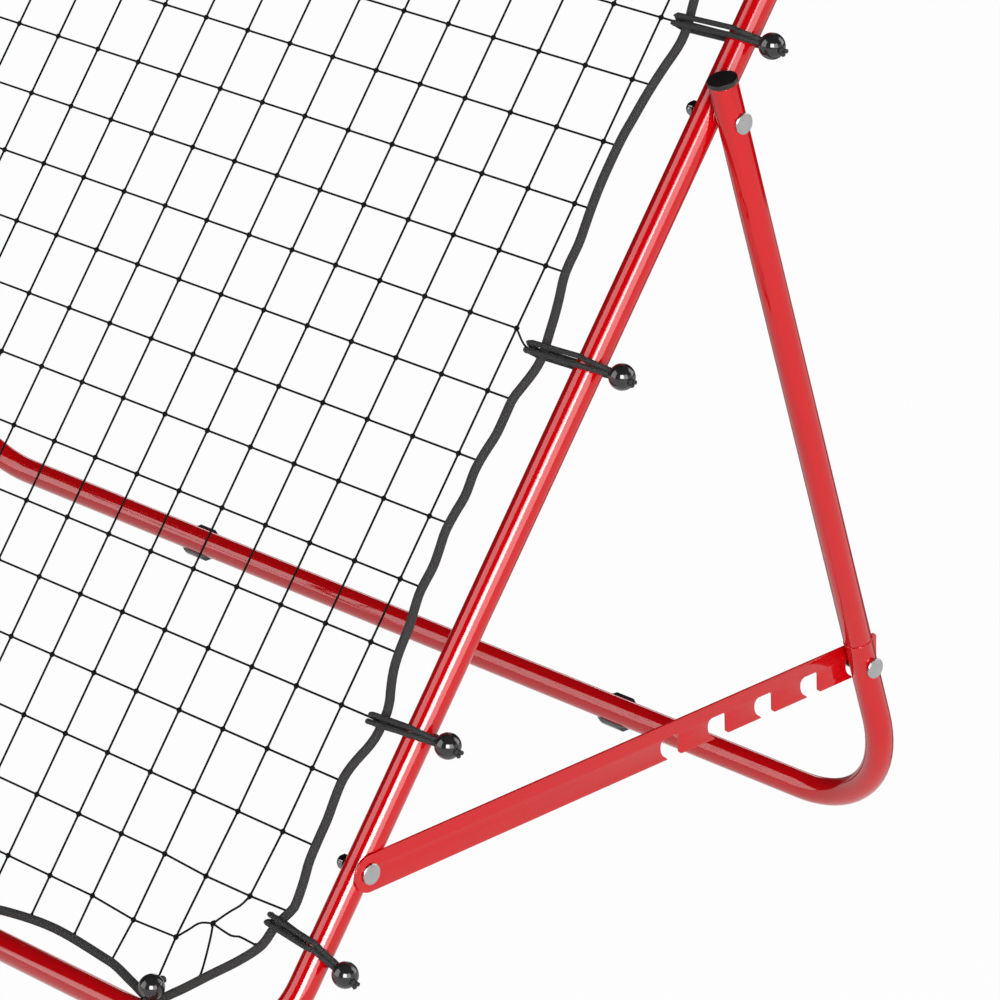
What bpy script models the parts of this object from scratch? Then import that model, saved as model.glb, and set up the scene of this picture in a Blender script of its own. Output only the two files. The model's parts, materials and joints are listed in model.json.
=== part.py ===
"""Soccer rebound net: a square tube frame with a net tied into it, leaning on a folding rear stand.

Metres, +Z up. The net faces -Y and the stand is behind it. The origin is on the floor, below the
middle of the object's box.
"""

from collections import namedtuple
from math import acos, asin, atan2, cos, degrees, hypot, pi, radians, sin, tan

import bmesh
import bpy
from mathutils import Matrix, Vector
from mathutils.geometry import intersect_line_line_2d

# Clearance that touching solids keep
GAP = 0.0003

# Painted steel tube of the frame and the stand
TUBE_RADIUS = 0.0125
TUBE_WALL = 0.0012
SHOULDER = 0.0006

# Steps of round shapes, and the angle past which an edge is shaded sharp
BEND_STEPS = 6
TUBE_BEVEL = 4
ROPE_BEVEL = 2
STRAND_BEVEL = 1
BALL_SEGMENTS = 8
BALL_RINGS = 6
DOME_STEPS = 4
ARC_STEPS = 3
TURN_STEPS = 12
FOOT_STEPS = 14
SHARP_ANGLE = radians(35)

# Distance within which loose caps and the ends of a turned profile are welded
WELD = 1e-6
TURN_WELD = 0.00001

# Front frame, between tube axes. Heights run up the rail from the bottom tube's axis.
FRAME_WIDTH = 1.294
FRAME_HEIGHT = 1.290
FRAME_BEND = 0.080
FRAME_SPIGOT = 0.050
PIVOT_UP = 0.868
STAY_BOLT_UP = 0.1846

# Rear stand. Distances run down the leg from the pivot.
LEG_ABOVE_PIVOT = 0.0358
MOUTH_DOWN = 0.535
REAR_BOLT_BELOW_MOUTH = 0.0268
MOUTH_TO_BEND = 0.0832
LEG_SPIGOT = 0.060
STAND_BEND = 0.125

# Stay: a flat bar from the stay bolt to the stud of the rear bolt
STAY_REACH = 0.5714
STAY_WIDTH = 0.033
STAY_THICKNESS = 0.002
STAY_TAIL = 0.030
STAY_CORNER = 0.004
NOTCH_COUNT = 5
NOTCH_PITCH = 0.0572
NOTCH_WIDTH = 0.0222
NOTCH_TOP = 0.0038
NOTCH_FRONT = 0.0091
NOTCH_FRONT_FILLET = 0.006
NOTCH_REAR_FILLET = 0.004
NOTCH_MOUTH_FILLET = 0.004
HOOK_RADIUS = 0.011
HOOK_CENTRE = -0.004
HOOK_SWEEP = radians(61)
TOE_REACH = 0.0079
TOE_HEIGHT = 0.0007
EXIT_SLOPE = tan(radians(44))

# Bolts, nuts, washers
BOLT_RADIUS = 0.004
STUD_RADIUS = 0.003
HEAD_RADIUS = 0.0092
HEAD_HEIGHT = 0.0022
HEAD_CHAMFER = 0.0006
NUT_RADIUS = 0.0073
NUT_HEIGHT = 0.010
NUT_SIDE = 0.005
NUT_BORE = 0.007
SHANK_END = 0.0005
SPACER_RADIUS = 0.010

# End caps and feet. The feet grip the bar anywhere, and sit a little to the right of the middle.
CAP_RADIUS = 0.0129
CAP_RIM = 0.004
CAP_PLUG = 0.012
FOOT_WALL = 0.005
FOOT_LENGTH = 0.037
FOOT_SPACING = 0.593
FOOT_SHIFT = 0.0155
FOOT_OUTER = 0.0183
FOOT_TOP_ANGLE = radians(42)
FOOT_FRONT_ANGLE = radians(-130)

# Net, rope and ties
ROPE_RADIUS = 0.004
TWINE = 0.0018
NET_CELLS = 14
NET_INSET = 0.070
NET_SAG = 0.0034
STRAND_RADIUS = 0.0025
STRAND_SPREAD = 0.0026
BALL_RADIUS = 0.0111
BALL_OUT = 0.0348
TAIL_LENGTH = 0.0085
LOW_BALL_UP = 0.025
LOW_BALL_FRONT = 0.0133
ROPE_SADDLE = 0.007
CORNER_BOW = -0.006
CORNER_SLANT = radians(7.6)

# Ties of a side, from the bottom: their heights
FIRST_TIE_UP = 0.1066
SECOND_TIE_UP = 0.3046
THIRD_TIE_UP = 0.636
FOURTH_TIE_UP = 0.936
FIFTH_TIE_UP = 1.1834

# How far the rope is held from the tube's axis, and how far it bows in above a tie
CORNER_ROPE_IN = 0.0585
SECOND_ROPE_IN = 0.0490
THIRD_ROPE_IN = 0.0540
FOURTH_ROPE_IN = 0.0600
FIRST_BOW = 0.004
SECOND_BOW = 0.020
THIRD_BOW = 0.019
FOURTH_BOW = 0.013

# Ties of the top and of the bottom: their places from the middle, and the rope's bow
OUTER_TIE_ACROSS = 0.500
INNER_TIE_ACROSS = 0.250
CROSS_BOW = 0.015
TOP_ROPE_DEPTH = 0.054
BOTTOM_ROPE_DEPTH = 0.017

# Motion: how far the stand folds towards the frame while the stays swing up
FOLD_ANGLE = radians(47)
SWING_ANGLE = radians(37.5)

# What follows from the sizes above
REAR_BOLT_DOWN = MOUTH_DOWN + REAR_BOLT_BELOW_MOUTH
LEG_LENGTH = MOUTH_DOWN + MOUTH_TO_BEND + STAND_BEND
STRAND = 2 * STRAND_RADIUS
TUBE_WRAP = TUBE_RADIUS + GAP + STRAND_RADIUS
ROPE_WRAP = ROPE_RADIUS + GAP + STRAND_RADIUS
STAY_INNER = TUBE_RADIUS + GAP
STAY_OUTER = STAY_INNER + STAY_THICKNESS
LEG_OFFSET = STAY_OUTER + GAP + TUBE_RADIUS
RAIL_X = FRAME_WIDTH / 2
LEG_X = RAIL_X + LEG_OFFSET
SPIGOT_RADIUS = TUBE_RADIUS - TUBE_WALL - GAP
FRONT_FLOOR = TUBE_RADIUS + GAP + STRAND
REAR_FLOOR = TUBE_RADIUS + GAP + FOOT_WALL

# Height on the side, distance of the rope, bow to the next tie
SIDE_TIES = (
    (FIRST_TIE_UP, CORNER_ROPE_IN, FIRST_BOW),
    (SECOND_TIE_UP, SECOND_ROPE_IN, SECOND_BOW),
    (THIRD_TIE_UP, THIRD_ROPE_IN, THIRD_BOW),
    (FOURTH_TIE_UP, FOURTH_ROPE_IN, FOURTH_BOW),
    (FIFTH_TIE_UP, CORNER_ROPE_IN, CORNER_BOW),
)
# Place across the frame, bow to the next tie
CROSS_TIES = (
    (-OUTER_TIE_ACROSS, CROSS_BOW),
    (-INNER_TIE_ACROSS, CROSS_BOW),
    (0.0, CROSS_BOW),
    (INNER_TIE_ACROSS, CROSS_BOW),
    (OUTER_TIE_ACROSS, CORNER_BOW),
)
# Where the rope's points lie between two ties, and how square its bow is
BOW_SHARES = (0.12, 0.5, 0.88)
BOW_POWER = 0.6

Tie = namedtuple("Tie", "spot inward depth bow low")


def stance():
    """Lean of the frame and splay of the leg from vertical, and the stay's slope from level."""
    rail = PIVOT_UP - STAY_BOLT_UP
    opening = acos((rail**2 + REAR_BOLT_DOWN**2 - STAY_REACH**2) / (2 * rail * REAR_BOLT_DOWN))
    along = PIVOT_UP - LEG_LENGTH * cos(opening)
    across = LEG_LENGTH * sin(opening)
    lean = acos((REAR_FLOOR - FRONT_FLOOR) / hypot(along, across)) - atan2(across, along)
    splay = opening - lean
    rise = rail * cos(lean) - REAR_BOLT_DOWN * cos(splay)
    return lean, splay, asin(rise / STAY_REACH)


LEAN, SPLAY, SLOPE = stance()


def clear_scene():
    for old in list(bpy.data.objects):
        bpy.data.objects.remove(old, do_unlink=True)


def new_collection(name):
    collection = bpy.data.collections.new(name)
    bpy.context.scene.collection.children.link(collection)
    return collection


def principled(name, colour, roughness, metallic):
    material = bpy.data.materials.new(name)
    material.use_nodes = True
    shader = material.node_tree.nodes["Principled BSDF"]
    shader.inputs["Base Color"].default_value = (*colour, 1.0)
    shader.inputs["Roughness"].default_value = roughness
    shader.inputs["Metallic"].default_value = metallic
    return material


def empty(name, parent=None, location=(0, 0, 0), tilt=0.0):
    """A joint's or a group's frame, turned about the X axis."""
    frame = bpy.data.objects.new(name, None)
    frame.empty_display_size = STAND_BEND / 2
    parts.objects.link(frame)
    frame.parent = parent
    frame.location = location
    frame.rotation_euler = (tilt, 0, 0)
    return frame


def finish(part, name, finish_name, parent, location=(0, 0, 0), rotation=(0, 0, 0)):
    """Name, paint and place one piece."""
    part.name = name
    part.data.name = name
    part.data.materials.clear()
    part.data.materials.append(paint[finish_name].copy())
    part.data.materials[0].name = name
    part.data.shade_smooth()
    part.data.set_sharp_from_angle(angle=SHARP_ANGLE)
    part.parent = parent
    part.location = location
    part.rotation_euler = rotation
    return part


def mesh_object(name, mesh):
    made = bpy.data.objects.new(name, mesh)
    parts.objects.link(made)
    return made


def mesh_from_bmesh(name, shape):
    mesh = bpy.data.meshes.new(name)
    shape.to_mesh(mesh)
    shape.free()
    return mesh


def baked(source, name):
    """A mesh of an object with its modifiers applied and loose caps welded; the object is removed."""
    depsgraph = bpy.context.evaluated_depsgraph_get()
    mesh = bpy.data.meshes.new_from_object(source.evaluated_get(depsgraph))
    mesh.name = name
    shape = bmesh.new()
    shape.from_mesh(mesh)
    bmesh.ops.remove_doubles(shape, verts=shape.verts, dist=WELD)
    shape.to_mesh(mesh)
    shape.free()
    bpy.data.objects.remove(source, do_unlink=True)
    return mesh


def tube_curve(name, points, radius, bevel, closed=False, capped=True, radii=None):
    """A round tube along straight runs between points."""
    curve = bpy.data.curves.new(name, "CURVE")
    curve.dimensions = "3D"
    curve.bevel_depth = radius
    curve.bevel_resolution = bevel
    curve.use_fill_caps = capped
    spline = curve.splines.new("POLY")
    spline.points.add(len(points) - 1)
    for index, point in enumerate(points):
        spline.points[index].co = (*point, 1.0)
        if radii:
            spline.points[index].radius = radii[index] / radius
    spline.use_cyclic_u = closed
    return mesh_object(name, curve)


def plate_curve(name, outlines, thickness):
    """A flat plate from closed outlines in its own XY plane; inner outlines are holes."""
    curve = bpy.data.curves.new(name, "CURVE")
    curve.dimensions = "2D"
    curve.fill_mode = "BOTH"
    curve.extrude = thickness / 2
    for outline in outlines:
        spline = curve.splines.new("POLY")
        spline.points.add(len(outline) - 1)
        for index, (across, up) in enumerate(outline):
            spline.points[index].co = (across, up, 0.0, 1.0)
        spline.use_cyclic_u = True
    return mesh_object(name, curve)


def arc(centre, radius, start, end, steps):
    """Points of an arc in a plane, ends included."""
    angles = [start + (end - start) * step / steps for step in range(steps + 1)]
    return [(centre[0] + radius * cos(angle), centre[1] + radius * sin(angle)) for angle in angles]


def rounded_run(corners, radius):
    """Straight runs in the XZ plane through the corners, with each inner corner bent to the radius."""
    points = [Vector((corners[0][0], 0, corners[0][1]))]
    for before, corner, after in zip(corners, corners[1:], corners[2:]):
        here = Vector(corner)
        arrive = (here - Vector(before)).normalized()
        leave = (Vector(after) - here).normalized()
        turn = arrive.angle(leave)
        setback = radius * tan(turn / 2)
        side = (leave - arrive).normalized()
        centre = here + side * (radius / cos(turn / 2))
        start = here - arrive * setback - centre
        for step in range(BEND_STEPS + 1):
            share = turn * step / BEND_STEPS
            spoke = start * cos(share) + arrive * radius * sin(share)
            points.append(Vector((centre.x + spoke.x, 0, centre.y + spoke.y)))
    points.append(Vector((corners[-1][0], 0, corners[-1][1])))
    return points


def pipe(name, points, radii=None):
    """A hollow tube: an open skin with its wall on the inside."""
    skin = tube_curve(name, points, TUBE_RADIUS, TUBE_BEVEL, capped=False, radii=radii)
    made = mesh_object(name, baked(skin, name))
    wall = made.modifiers.new("wall", "SOLIDIFY")
    wall.thickness = TUBE_WALL
    wall.offset = -1
    wall.use_even_offset = True
    return made


def turned(name, profile, ring=False):
    """A piece turned about its own Z axis. The profile runs down the outer side."""
    shape = bmesh.new()
    dots = [shape.verts.new((radius, 0, height)) for radius, height in profile]
    for first, second in zip(dots, dots[1:]):
        shape.edges.new((first, second))
    if ring:
        shape.edges.new((dots[-1], dots[0]))
    made = mesh_object(name, mesh_from_bmesh(name, shape))
    screw = made.modifiers.new("turn", "SCREW")
    screw.steps = TURN_STEPS
    screw.render_steps = TURN_STEPS
    screw.use_merge_vertices = True
    screw.merge_threshold = TURN_WELD
    screw.use_smooth_shade = True
    return made


def drill(part, parent, radius, location):
    """A round hole through a part, along the X axis of its frame."""
    length = 4 * LEG_OFFSET
    shape = bmesh.new()
    bmesh.ops.create_cone(
        shape,
        cap_ends=True,
        segments=TURN_STEPS,
        radius1=radius,
        radius2=radius,
        depth=length,
        matrix=Matrix.Rotation(pi / 2, 4, "Y"),
    )
    cutter = bpy.data.objects.new(part.name + "_drill", mesh_from_bmesh(part.name + "_drill", shape))
    cutters.objects.link(cutter)
    cutter.parent = parent
    cutter.location = location
    cutter.hide_render = True
    cutter.display_type = "WIRE"
    hole = part.modifiers.new("hole", "BOOLEAN")
    hole.operation = "DIFFERENCE"
    hole.object = cutter


def frame_half(side):
    """Right or left half of the front frame. The left half carries the spigots."""
    seam = 0.0
    corners = [
        (seam, FRAME_HEIGHT),
        (side * RAIL_X, FRAME_HEIGHT),
        (side * RAIL_X, 0.0),
        (seam, 0.0),
    ]
    radii = None
    if side < 0:
        corners[0] = (seam - GAP - SHOULDER, FRAME_HEIGHT)
        corners[-1] = (seam - GAP - SHOULDER, 0.0)
    points = rounded_run(corners, FRAME_BEND)
    if side < 0:
        top = [Vector((seam + FRAME_SPIGOT, 0, FRAME_HEIGHT)), Vector((seam - GAP, 0, FRAME_HEIGHT))]
        bottom = [Vector((seam - GAP, 0, 0)), Vector((seam + FRAME_SPIGOT, 0, 0))]
        full = len(points)
        points = top + points + bottom
        radii = [SPIGOT_RADIUS] * 2 + [TUBE_RADIUS] * full + [SPIGOT_RADIUS] * 2
    name = "frame_half_right" if side > 0 else "frame_half_left"
    half = pipe(name, points, radii)
    finish(half, name, "red paint", front)
    drill(half, front, BOLT_RADIUS + GAP, (side * RAIL_X, 0, PIVOT_UP))
    drill(half, front, BOLT_RADIUS + GAP, (side * RAIL_X, 0, STAY_BOLT_UP))


def rear_u_tube():
    corners = [(LEG_X, -MOUTH_DOWN), (LEG_X, -LEG_LENGTH), (-LEG_X, -LEG_LENGTH), (-LEG_X, -MOUTH_DOWN)]
    tube = pipe("rear_u_tube", rounded_run(corners, STAND_BEND))
    finish(tube, "rear_u_tube", "red paint", stand)
    for side in (1, -1):
        drill(tube, stand, STUD_RADIUS + GAP, (side * LEG_X, 0, -REAR_BOLT_DOWN))


def upper_leg(side):
    """Straight tube from the end cap to the U tube's mouth, with a reduced end inside the U."""
    name = "upper_leg_right" if side > 0 else "upper_leg_left"
    shoulder = GAP - MOUTH_DOWN
    heights = [LEG_ABOVE_PIVOT, shoulder + SHOULDER, shoulder, -MOUTH_DOWN - LEG_SPIGOT]
    radii = [TUBE_RADIUS, TUBE_RADIUS, SPIGOT_RADIUS, SPIGOT_RADIUS]
    tube = pipe(name, [Vector((side * LEG_X, 0, height)) for height in heights], radii)
    finish(tube, name, "red paint", stand)
    drill(tube, stand, BOLT_RADIUS + GAP, (side * LEG_X, 0, 0))
    drill(tube, stand, STUD_RADIUS + GAP, (side * LEG_X, 0, -REAR_BOLT_DOWN))


def end_cap(side):
    """Plastic plug in the leg's top, its rim resting on the tube's edge."""
    name = "end_cap_right" if side > 0 else "end_cap_left"
    top = GAP + CAP_RIM
    profile = [
        (0.0, top),
        (CAP_RADIUS - HEAD_CHAMFER, top),
        (CAP_RADIUS, top - HEAD_CHAMFER),
        (CAP_RADIUS, GAP),
        (SPIGOT_RADIUS, GAP),
        (SPIGOT_RADIUS, -CAP_PLUG),
        (0.0, -CAP_PLUG),
    ]
    finish(turned(name, profile), name, "black plastic", stand, (side * LEG_X, 0, LEG_ABOVE_PIVOT))


def foot(side):
    """C-shaped clip round the back and the underside of the crossbar, flat where it meets the floor."""
    name = "foot_right" if side > 0 else "foot_left"
    inner = TUBE_RADIUS + GAP
    outer = arc((0, 0), FOOT_OUTER, FOOT_FRONT_ANGLE, FOOT_TOP_ANGLE, FOOT_STEPS)
    flat = [(across, max(up, -REAR_FLOOR)) for across, up in outer]
    outline = flat + arc((0, 0), inner, FOOT_TOP_ANGLE, FOOT_FRONT_ANGLE, FOOT_STEPS)
    plate = plate_curve(name, [outline], FOOT_LENGTH)
    clip = mesh_object(name, baked(plate, name))
    place = (FOOT_SHIFT + side * FOOT_SPACING / 2, 0, -LEG_LENGTH)
    finish(clip, name, "black plastic", stand, place)
    upright = Matrix.Rotation(-SPLAY, 3, "X") @ plate_turn()
    clip.rotation_euler = upright.to_euler()


def plate_turn():
    """Turns a plate's own X, Y and Z to its frame's Y, Z and X."""
    return Matrix(((0, 0, 1), (1, 0, 0), (0, 1, 0)))


def notch_outline(front, top, rear):
    """One hook notch of the stay, from its toe in the lower edge round to its rear mouth."""
    low = -STAY_WIDTH / 2
    hook = arc((front + HOOK_RADIUS, HOOK_CENTRE), HOOK_RADIUS, pi + HOOK_SWEEP, pi, ARC_STEPS + 1)
    toe = [(front + TOE_REACH, low), (front + TOE_REACH, low + TOE_HEIGHT)]
    return toe + hook + notch_top(front, top, rear, NOTCH_REAR_FILLET)


def open_notch_outline(front, top, rear):
    """The last notch: no toe, and a slant along the stud's way out."""
    low = -STAY_WIDTH / 2
    skin = (STUD_RADIUS + GAP) * hypot(1, EXIT_SLOPE)
    edge = STAY_REACH - skin + EXIT_SLOPE * low
    knee = (front - STAY_REACH + skin) / EXIT_SLOPE
    return [(edge, low), (front, knee)] + notch_top(front, top, rear, STUD_RADIUS + GAP)


def notch_top(front, top, rear, fillet):
    """A notch's upper front corner, upper rear corner of the given fillet, and rear mouth."""
    low = -STAY_WIDTH / 2
    first = (front + NOTCH_FRONT_FILLET, top - NOTCH_FRONT_FILLET)
    second = (rear - fillet, top - fillet)
    mouth = (rear + NOTCH_MOUTH_FILLET, low + NOTCH_MOUTH_FILLET)
    points = arc(first, NOTCH_FRONT_FILLET, pi, pi / 2, ARC_STEPS)
    points += arc(second, fillet, pi / 2, 0, ARC_STEPS)
    points += arc(mouth, NOTCH_MOUTH_FILLET, pi, 1.5 * pi, ARC_STEPS)
    return points


def stay(side, frame):
    """Flat bar: round at the stay bolt, square at the tail, notched along its lower edge."""
    name = "stay_right" if side > 0 else "stay_left"
    half = STAY_WIDTH / 2
    tail = STAY_REACH + STAY_TAIL
    outline = arc((0, 0), half, pi / 2, 1.5 * pi, 2 * ARC_STEPS + 2)
    last = STAY_REACH - NOTCH_FRONT
    for index in range(NOTCH_COUNT - 1):
        front_wall = last - (NOTCH_COUNT - 1 - index) * NOTCH_PITCH
        outline += notch_outline(front_wall, NOTCH_TOP, front_wall + NOTCH_WIDTH)
    seat = STUD_RADIUS + GAP
    outline += open_notch_outline(last, seat, STAY_REACH + seat)
    outline += arc((tail - STAY_CORNER, STAY_CORNER - half), STAY_CORNER, -pi / 2, 0, ARC_STEPS)
    outline += arc((tail - STAY_CORNER, half - STAY_CORNER), STAY_CORNER, 0, pi / 2, ARC_STEPS)
    hole = arc((0, 0), BOLT_RADIUS + GAP, 0, 2 * pi, TURN_STEPS)[:-1]
    plate = plate_curve(name, [outline, hole], STAY_THICKNESS)
    bar = mesh_object(name, baked(plate, name))
    finish(bar, name, "red paint", frame)
    bar.rotation_euler = plate_turn().to_euler()


def bolt(name, parent, side, place, under_head, shank, radius):
    """Flat-headed bolt along X, head outwards, its end inside a nut. Lengths run from its place."""
    top = under_head + HEAD_HEIGHT
    profile = [
        (0.0, top),
        (HEAD_RADIUS - HEAD_CHAMFER, top),
        (HEAD_RADIUS, top - HEAD_CHAMFER),
        (HEAD_RADIUS, under_head),
        (radius, under_head),
        (radius, -shank),
        (0.0, -shank),
    ]
    finish(turned(name, profile), name, "zinc", parent, place, (0, side * pi / 2, 0))


def dome_nut(name, parent, side, place, radius):
    """Closed nut along X, its face at its place and its dome pointing to the middle."""
    rise = NUT_HEIGHT - NUT_SIDE
    quarter = arc((0, 0), 1.0, pi / 2, 0, DOME_STEPS)
    profile = [(across * NUT_RADIUS, NUT_SIDE + up * rise) for across, up in quarter]
    profile[0] = (0.0, NUT_HEIGHT)
    bore = radius + GAP
    profile += [(NUT_RADIUS, 0.0), (bore, 0.0), (bore, NUT_BORE), (0.0, NUT_BORE)]
    finish(turned(name, profile), name, "dark chrome", parent, place, (0, -side * pi / 2, 0))


def side_hardware(side, stay_frame):
    """Bolts, nuts and spacer of one side."""
    word = "right" if side > 0 else "left"
    nut_face = TUBE_RADIUS + GAP
    reach_in = nut_face + NUT_BORE - SHANK_END
    pivot = (side * RAIL_X, 0, PIVOT_UP)
    bolt("pivot_bolt_" + word, front, side, pivot, LEG_OFFSET + nut_face, reach_in, BOLT_RADIUS)
    nut_x = side * (RAIL_X - nut_face)
    dome_nut("pivot_nut_" + word, front, side, (nut_x, 0, PIVOT_UP), BOLT_RADIUS)
    low = (side * RAIL_X, 0, STAY_BOLT_UP)
    bolt("stay_bolt_" + word, front, side, low, STAY_OUTER + GAP, reach_in, BOLT_RADIUS)
    dome_nut("stay_nut_" + word, front, side, (nut_x, 0, STAY_BOLT_UP), BOLT_RADIUS)
    inward = LEG_OFFSET - STAY_INNER + GAP
    rear = (side * LEG_X, 0, -REAR_BOLT_DOWN)
    bolt("rear_bolt_" + word, stand, side, rear, nut_face, inward + NUT_BORE - SHANK_END, STUD_RADIUS)
    dome_nut("rear_nut_" + word, stand, side, (side * (LEG_X - inward), 0, -REAR_BOLT_DOWN), STUD_RADIUS)
    half = STAY_THICKNESS / 2
    bore = BOLT_RADIUS + GAP
    ring = [(SPACER_RADIUS, half), (SPACER_RADIUS, -half), (bore, -half), (bore, half)]
    spacer = turned("pivot_spacer_" + word, ring, ring=True)
    middle = side * (RAIL_X + STAY_INNER + half)
    finish(spacer, "pivot_spacer_" + word, "red paint", front, (middle, 0, PIVOT_UP), (0, pi / 2, 0))


def ties():
    """Every tie, counter-clockwise from the lowest on the right, in the plane of the frame."""
    spots = []
    last = len(SIDE_TIES) - 1
    for index, (height, depth, bow) in enumerate(SIDE_TIES):
        slant = CORNER_SLANT * ((index == 0) - (index == last))
        inward = Vector((-cos(slant), sin(slant)))
        spots.append(Tie(Vector((RAIL_X, height)), inward, depth, bow, False))
    for (across, _), (_, bow) in zip(reversed(CROSS_TIES), CROSS_TIES):
        spots.append(Tie(Vector((across, FRAME_HEIGHT)), Vector((0, -1)), TOP_ROPE_DEPTH, bow, False))
    for index in range(last, -1, -1):
        height, depth, _ = SIDE_TIES[index]
        bow = SIDE_TIES[index - 1][2] if index else CORNER_BOW
        slant = CORNER_SLANT * ((index == 0) - (index == last))
        inward = Vector((cos(slant), sin(slant)))
        spots.append(Tie(Vector((-RAIL_X, height)), inward, depth, bow, False))
    for across, bow in CROSS_TIES:
        spots.append(Tie(Vector((across, 0)), Vector((0, 1)), BOTTOM_ROPE_DEPTH, bow, True))
    return spots


def rope_route(spots):
    """The rope's centre line: flat where a tie holds it, bowed inwards between two ties."""
    route = []
    for tie, following in zip(spots, spots[1:] + spots[:1]):
        held = tie.spot + tie.inward * tie.depth
        along = Vector((tie.inward.y, -tie.inward.x))
        next_held = following.spot + following.inward * following.depth
        next_along = Vector((following.inward.y, -following.inward.x))
        leave = held + along * ROPE_SADDLE
        arrive = next_held - next_along * ROPE_SADDLE
        chord = arrive - leave
        inwards = Vector((-chord.y, chord.x)).normalized()
        route += [held - along * ROPE_SADDLE, leave]
        for share in BOW_SHARES:
            route.append(leave + chord * share + inwards * tie.bow * sin(pi * share) ** BOW_POWER)
    return route


def edge_rope(route):
    points = [(point.x, 0, point.y) for point in route]
    rope = tube_curve("edge_rope", points, ROPE_RADIUS, ROPE_BEVEL, closed=True)
    finish(mesh_object("edge_rope", baked(rope, "edge_rope")), "edge_rope", "black rope", front)


def rope_crossing(start, outward, route):
    """Where a line of the net meets the rope's centre line, and the rope's inward normal there."""
    end = start + outward * FRAME_HEIGHT
    for first, second in zip(route, route[1:] + route[:1]):
        meet = intersect_line_line_2d(start, end, first, second)
        if meet:
            run = (second - first).normalized()
            return meet, Vector((-run.y, run.x))
    raise ValueError("a line of the net misses the rope")


def net(route, spots):
    """Square grid whose border follows the inner side of the rope, made into twine."""
    width = FRAME_WIDTH - 2 * NET_INSET
    height = FRAME_HEIGHT - 2 * NET_INSET
    unit_half = 0.5
    shape = bmesh.new()
    bmesh.ops.create_grid(shape, x_segments=NET_CELLS, y_segments=NET_CELLS, size=unit_half)
    beside_rope = ROPE_RADIUS + GAP + TWINE / 2 + NET_SAG
    beside_tie = ROPE_RADIUS + GAP + STRAND + GAP + TWINE / 2 + NET_SAG
    held = [tie.spot + tie.inward * tie.depth for tie in spots]
    near = 2 * ROPE_SADDLE
    for vert in shape.verts:
        place = Vector((vert.co.x * width, FRAME_HEIGHT / 2 + vert.co.y * height))
        outward = Vector((int(round(vert.co.x / unit_half, 6)), int(round(vert.co.y / unit_half, 6))))
        if outward.length:
            outward.normalize()
            start = place - outward * width / NET_CELLS
            meet, inwards = rope_crossing(start, outward, route)
            by_tie = min((meet - point).length for point in held) < near
            room = beside_tie if by_tie else beside_rope
            place = meet + outward * (room / outward.dot(inwards))
        vert.co = (place.x, 0, place.y)
    bmesh.ops.recalc_face_normals(shape, faces=shape.faces)
    made = mesh_object("net", mesh_from_bmesh("net", shape))
    twine = made.modifiers.new("twine", "WIREFRAME")
    twine.thickness = TWINE
    twine.use_boundary = True
    twine.use_replace = True
    twine.use_even_offset = True
    finish(made, "net", "black twine", front)


def crossing(first, second):
    """Where two tangents meet. A tangent is a circle's centre, its radius and the angle it touches at."""
    (centre_a, radius_a, angle_a), (centre_b, radius_b, angle_b) = first, second
    reach_a = radius_a + centre_a[0] * cos(angle_a) + centre_a[1] * sin(angle_a)
    reach_b = radius_b + centre_b[0] * cos(angle_b) + centre_b[1] * sin(angle_b)
    spread = sin(angle_b - angle_a)
    across = (reach_a * sin(angle_b) - reach_b * sin(angle_a)) / spread
    up = (reach_b * cos(angle_a) - reach_a * cos(angle_b)) / spread
    return across, up


def outer_tie_corners(depth):
    """Strand of a tie whose ball hangs outside the tube, seen along the tube."""
    tube = (0.0, 0.0)
    rope = (-depth, 0.0)
    from_ball = acos(TUBE_WRAP / BALL_OUT)
    to_rope = pi - acos((TUBE_WRAP - ROPE_WRAP) / depth)
    third = (2 * pi - 2 * to_rope) / 3
    tangents = [
        (tube, TUBE_WRAP, from_ball),
        (tube, TUBE_WRAP, to_rope),
        (rope, ROPE_WRAP, to_rope + third),
        (rope, ROPE_WRAP, to_rope + 2 * third),
        (tube, TUBE_WRAP, -to_rope),
        (tube, TUBE_WRAP, -from_ball),
    ]
    return [crossing(first, second) for first, second in zip(tangents, tangents[1:])]


def low_tie_corners(depth, ball):
    """Strand of a bottom tie: under the tube, over the rope, its ball in front of the rope."""
    tube = (0.0, 0.0)
    rope = (-depth, 0.0)
    to_rope = pi - acos((TUBE_WRAP - ROPE_WRAP) / depth)
    ball_angle = atan2(ball[1], ball[0])
    to_front = ball_angle + acos(TUBE_WRAP / hypot(*ball))
    beside = (ball[0] - rope[0], ball[1] - rope[1])
    over_rope = atan2(beside[1], beside[0]) - acos(ROPE_WRAP / hypot(*beside)) + 2 * pi
    floor = LEAN
    tangents = [
        (rope, ROPE_WRAP, over_rope),
        (tube, TUBE_WRAP, to_rope),
        (tube, TUBE_WRAP, (to_rope + floor) / 2),
        (tube, TUBE_WRAP, floor),
        (tube, TUBE_WRAP, (floor + to_front) / 2),
        (tube, TUBE_WRAP, to_front),
    ]
    return [crossing(first, second) for first, second in zip(tangents, tangents[1:])]


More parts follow.
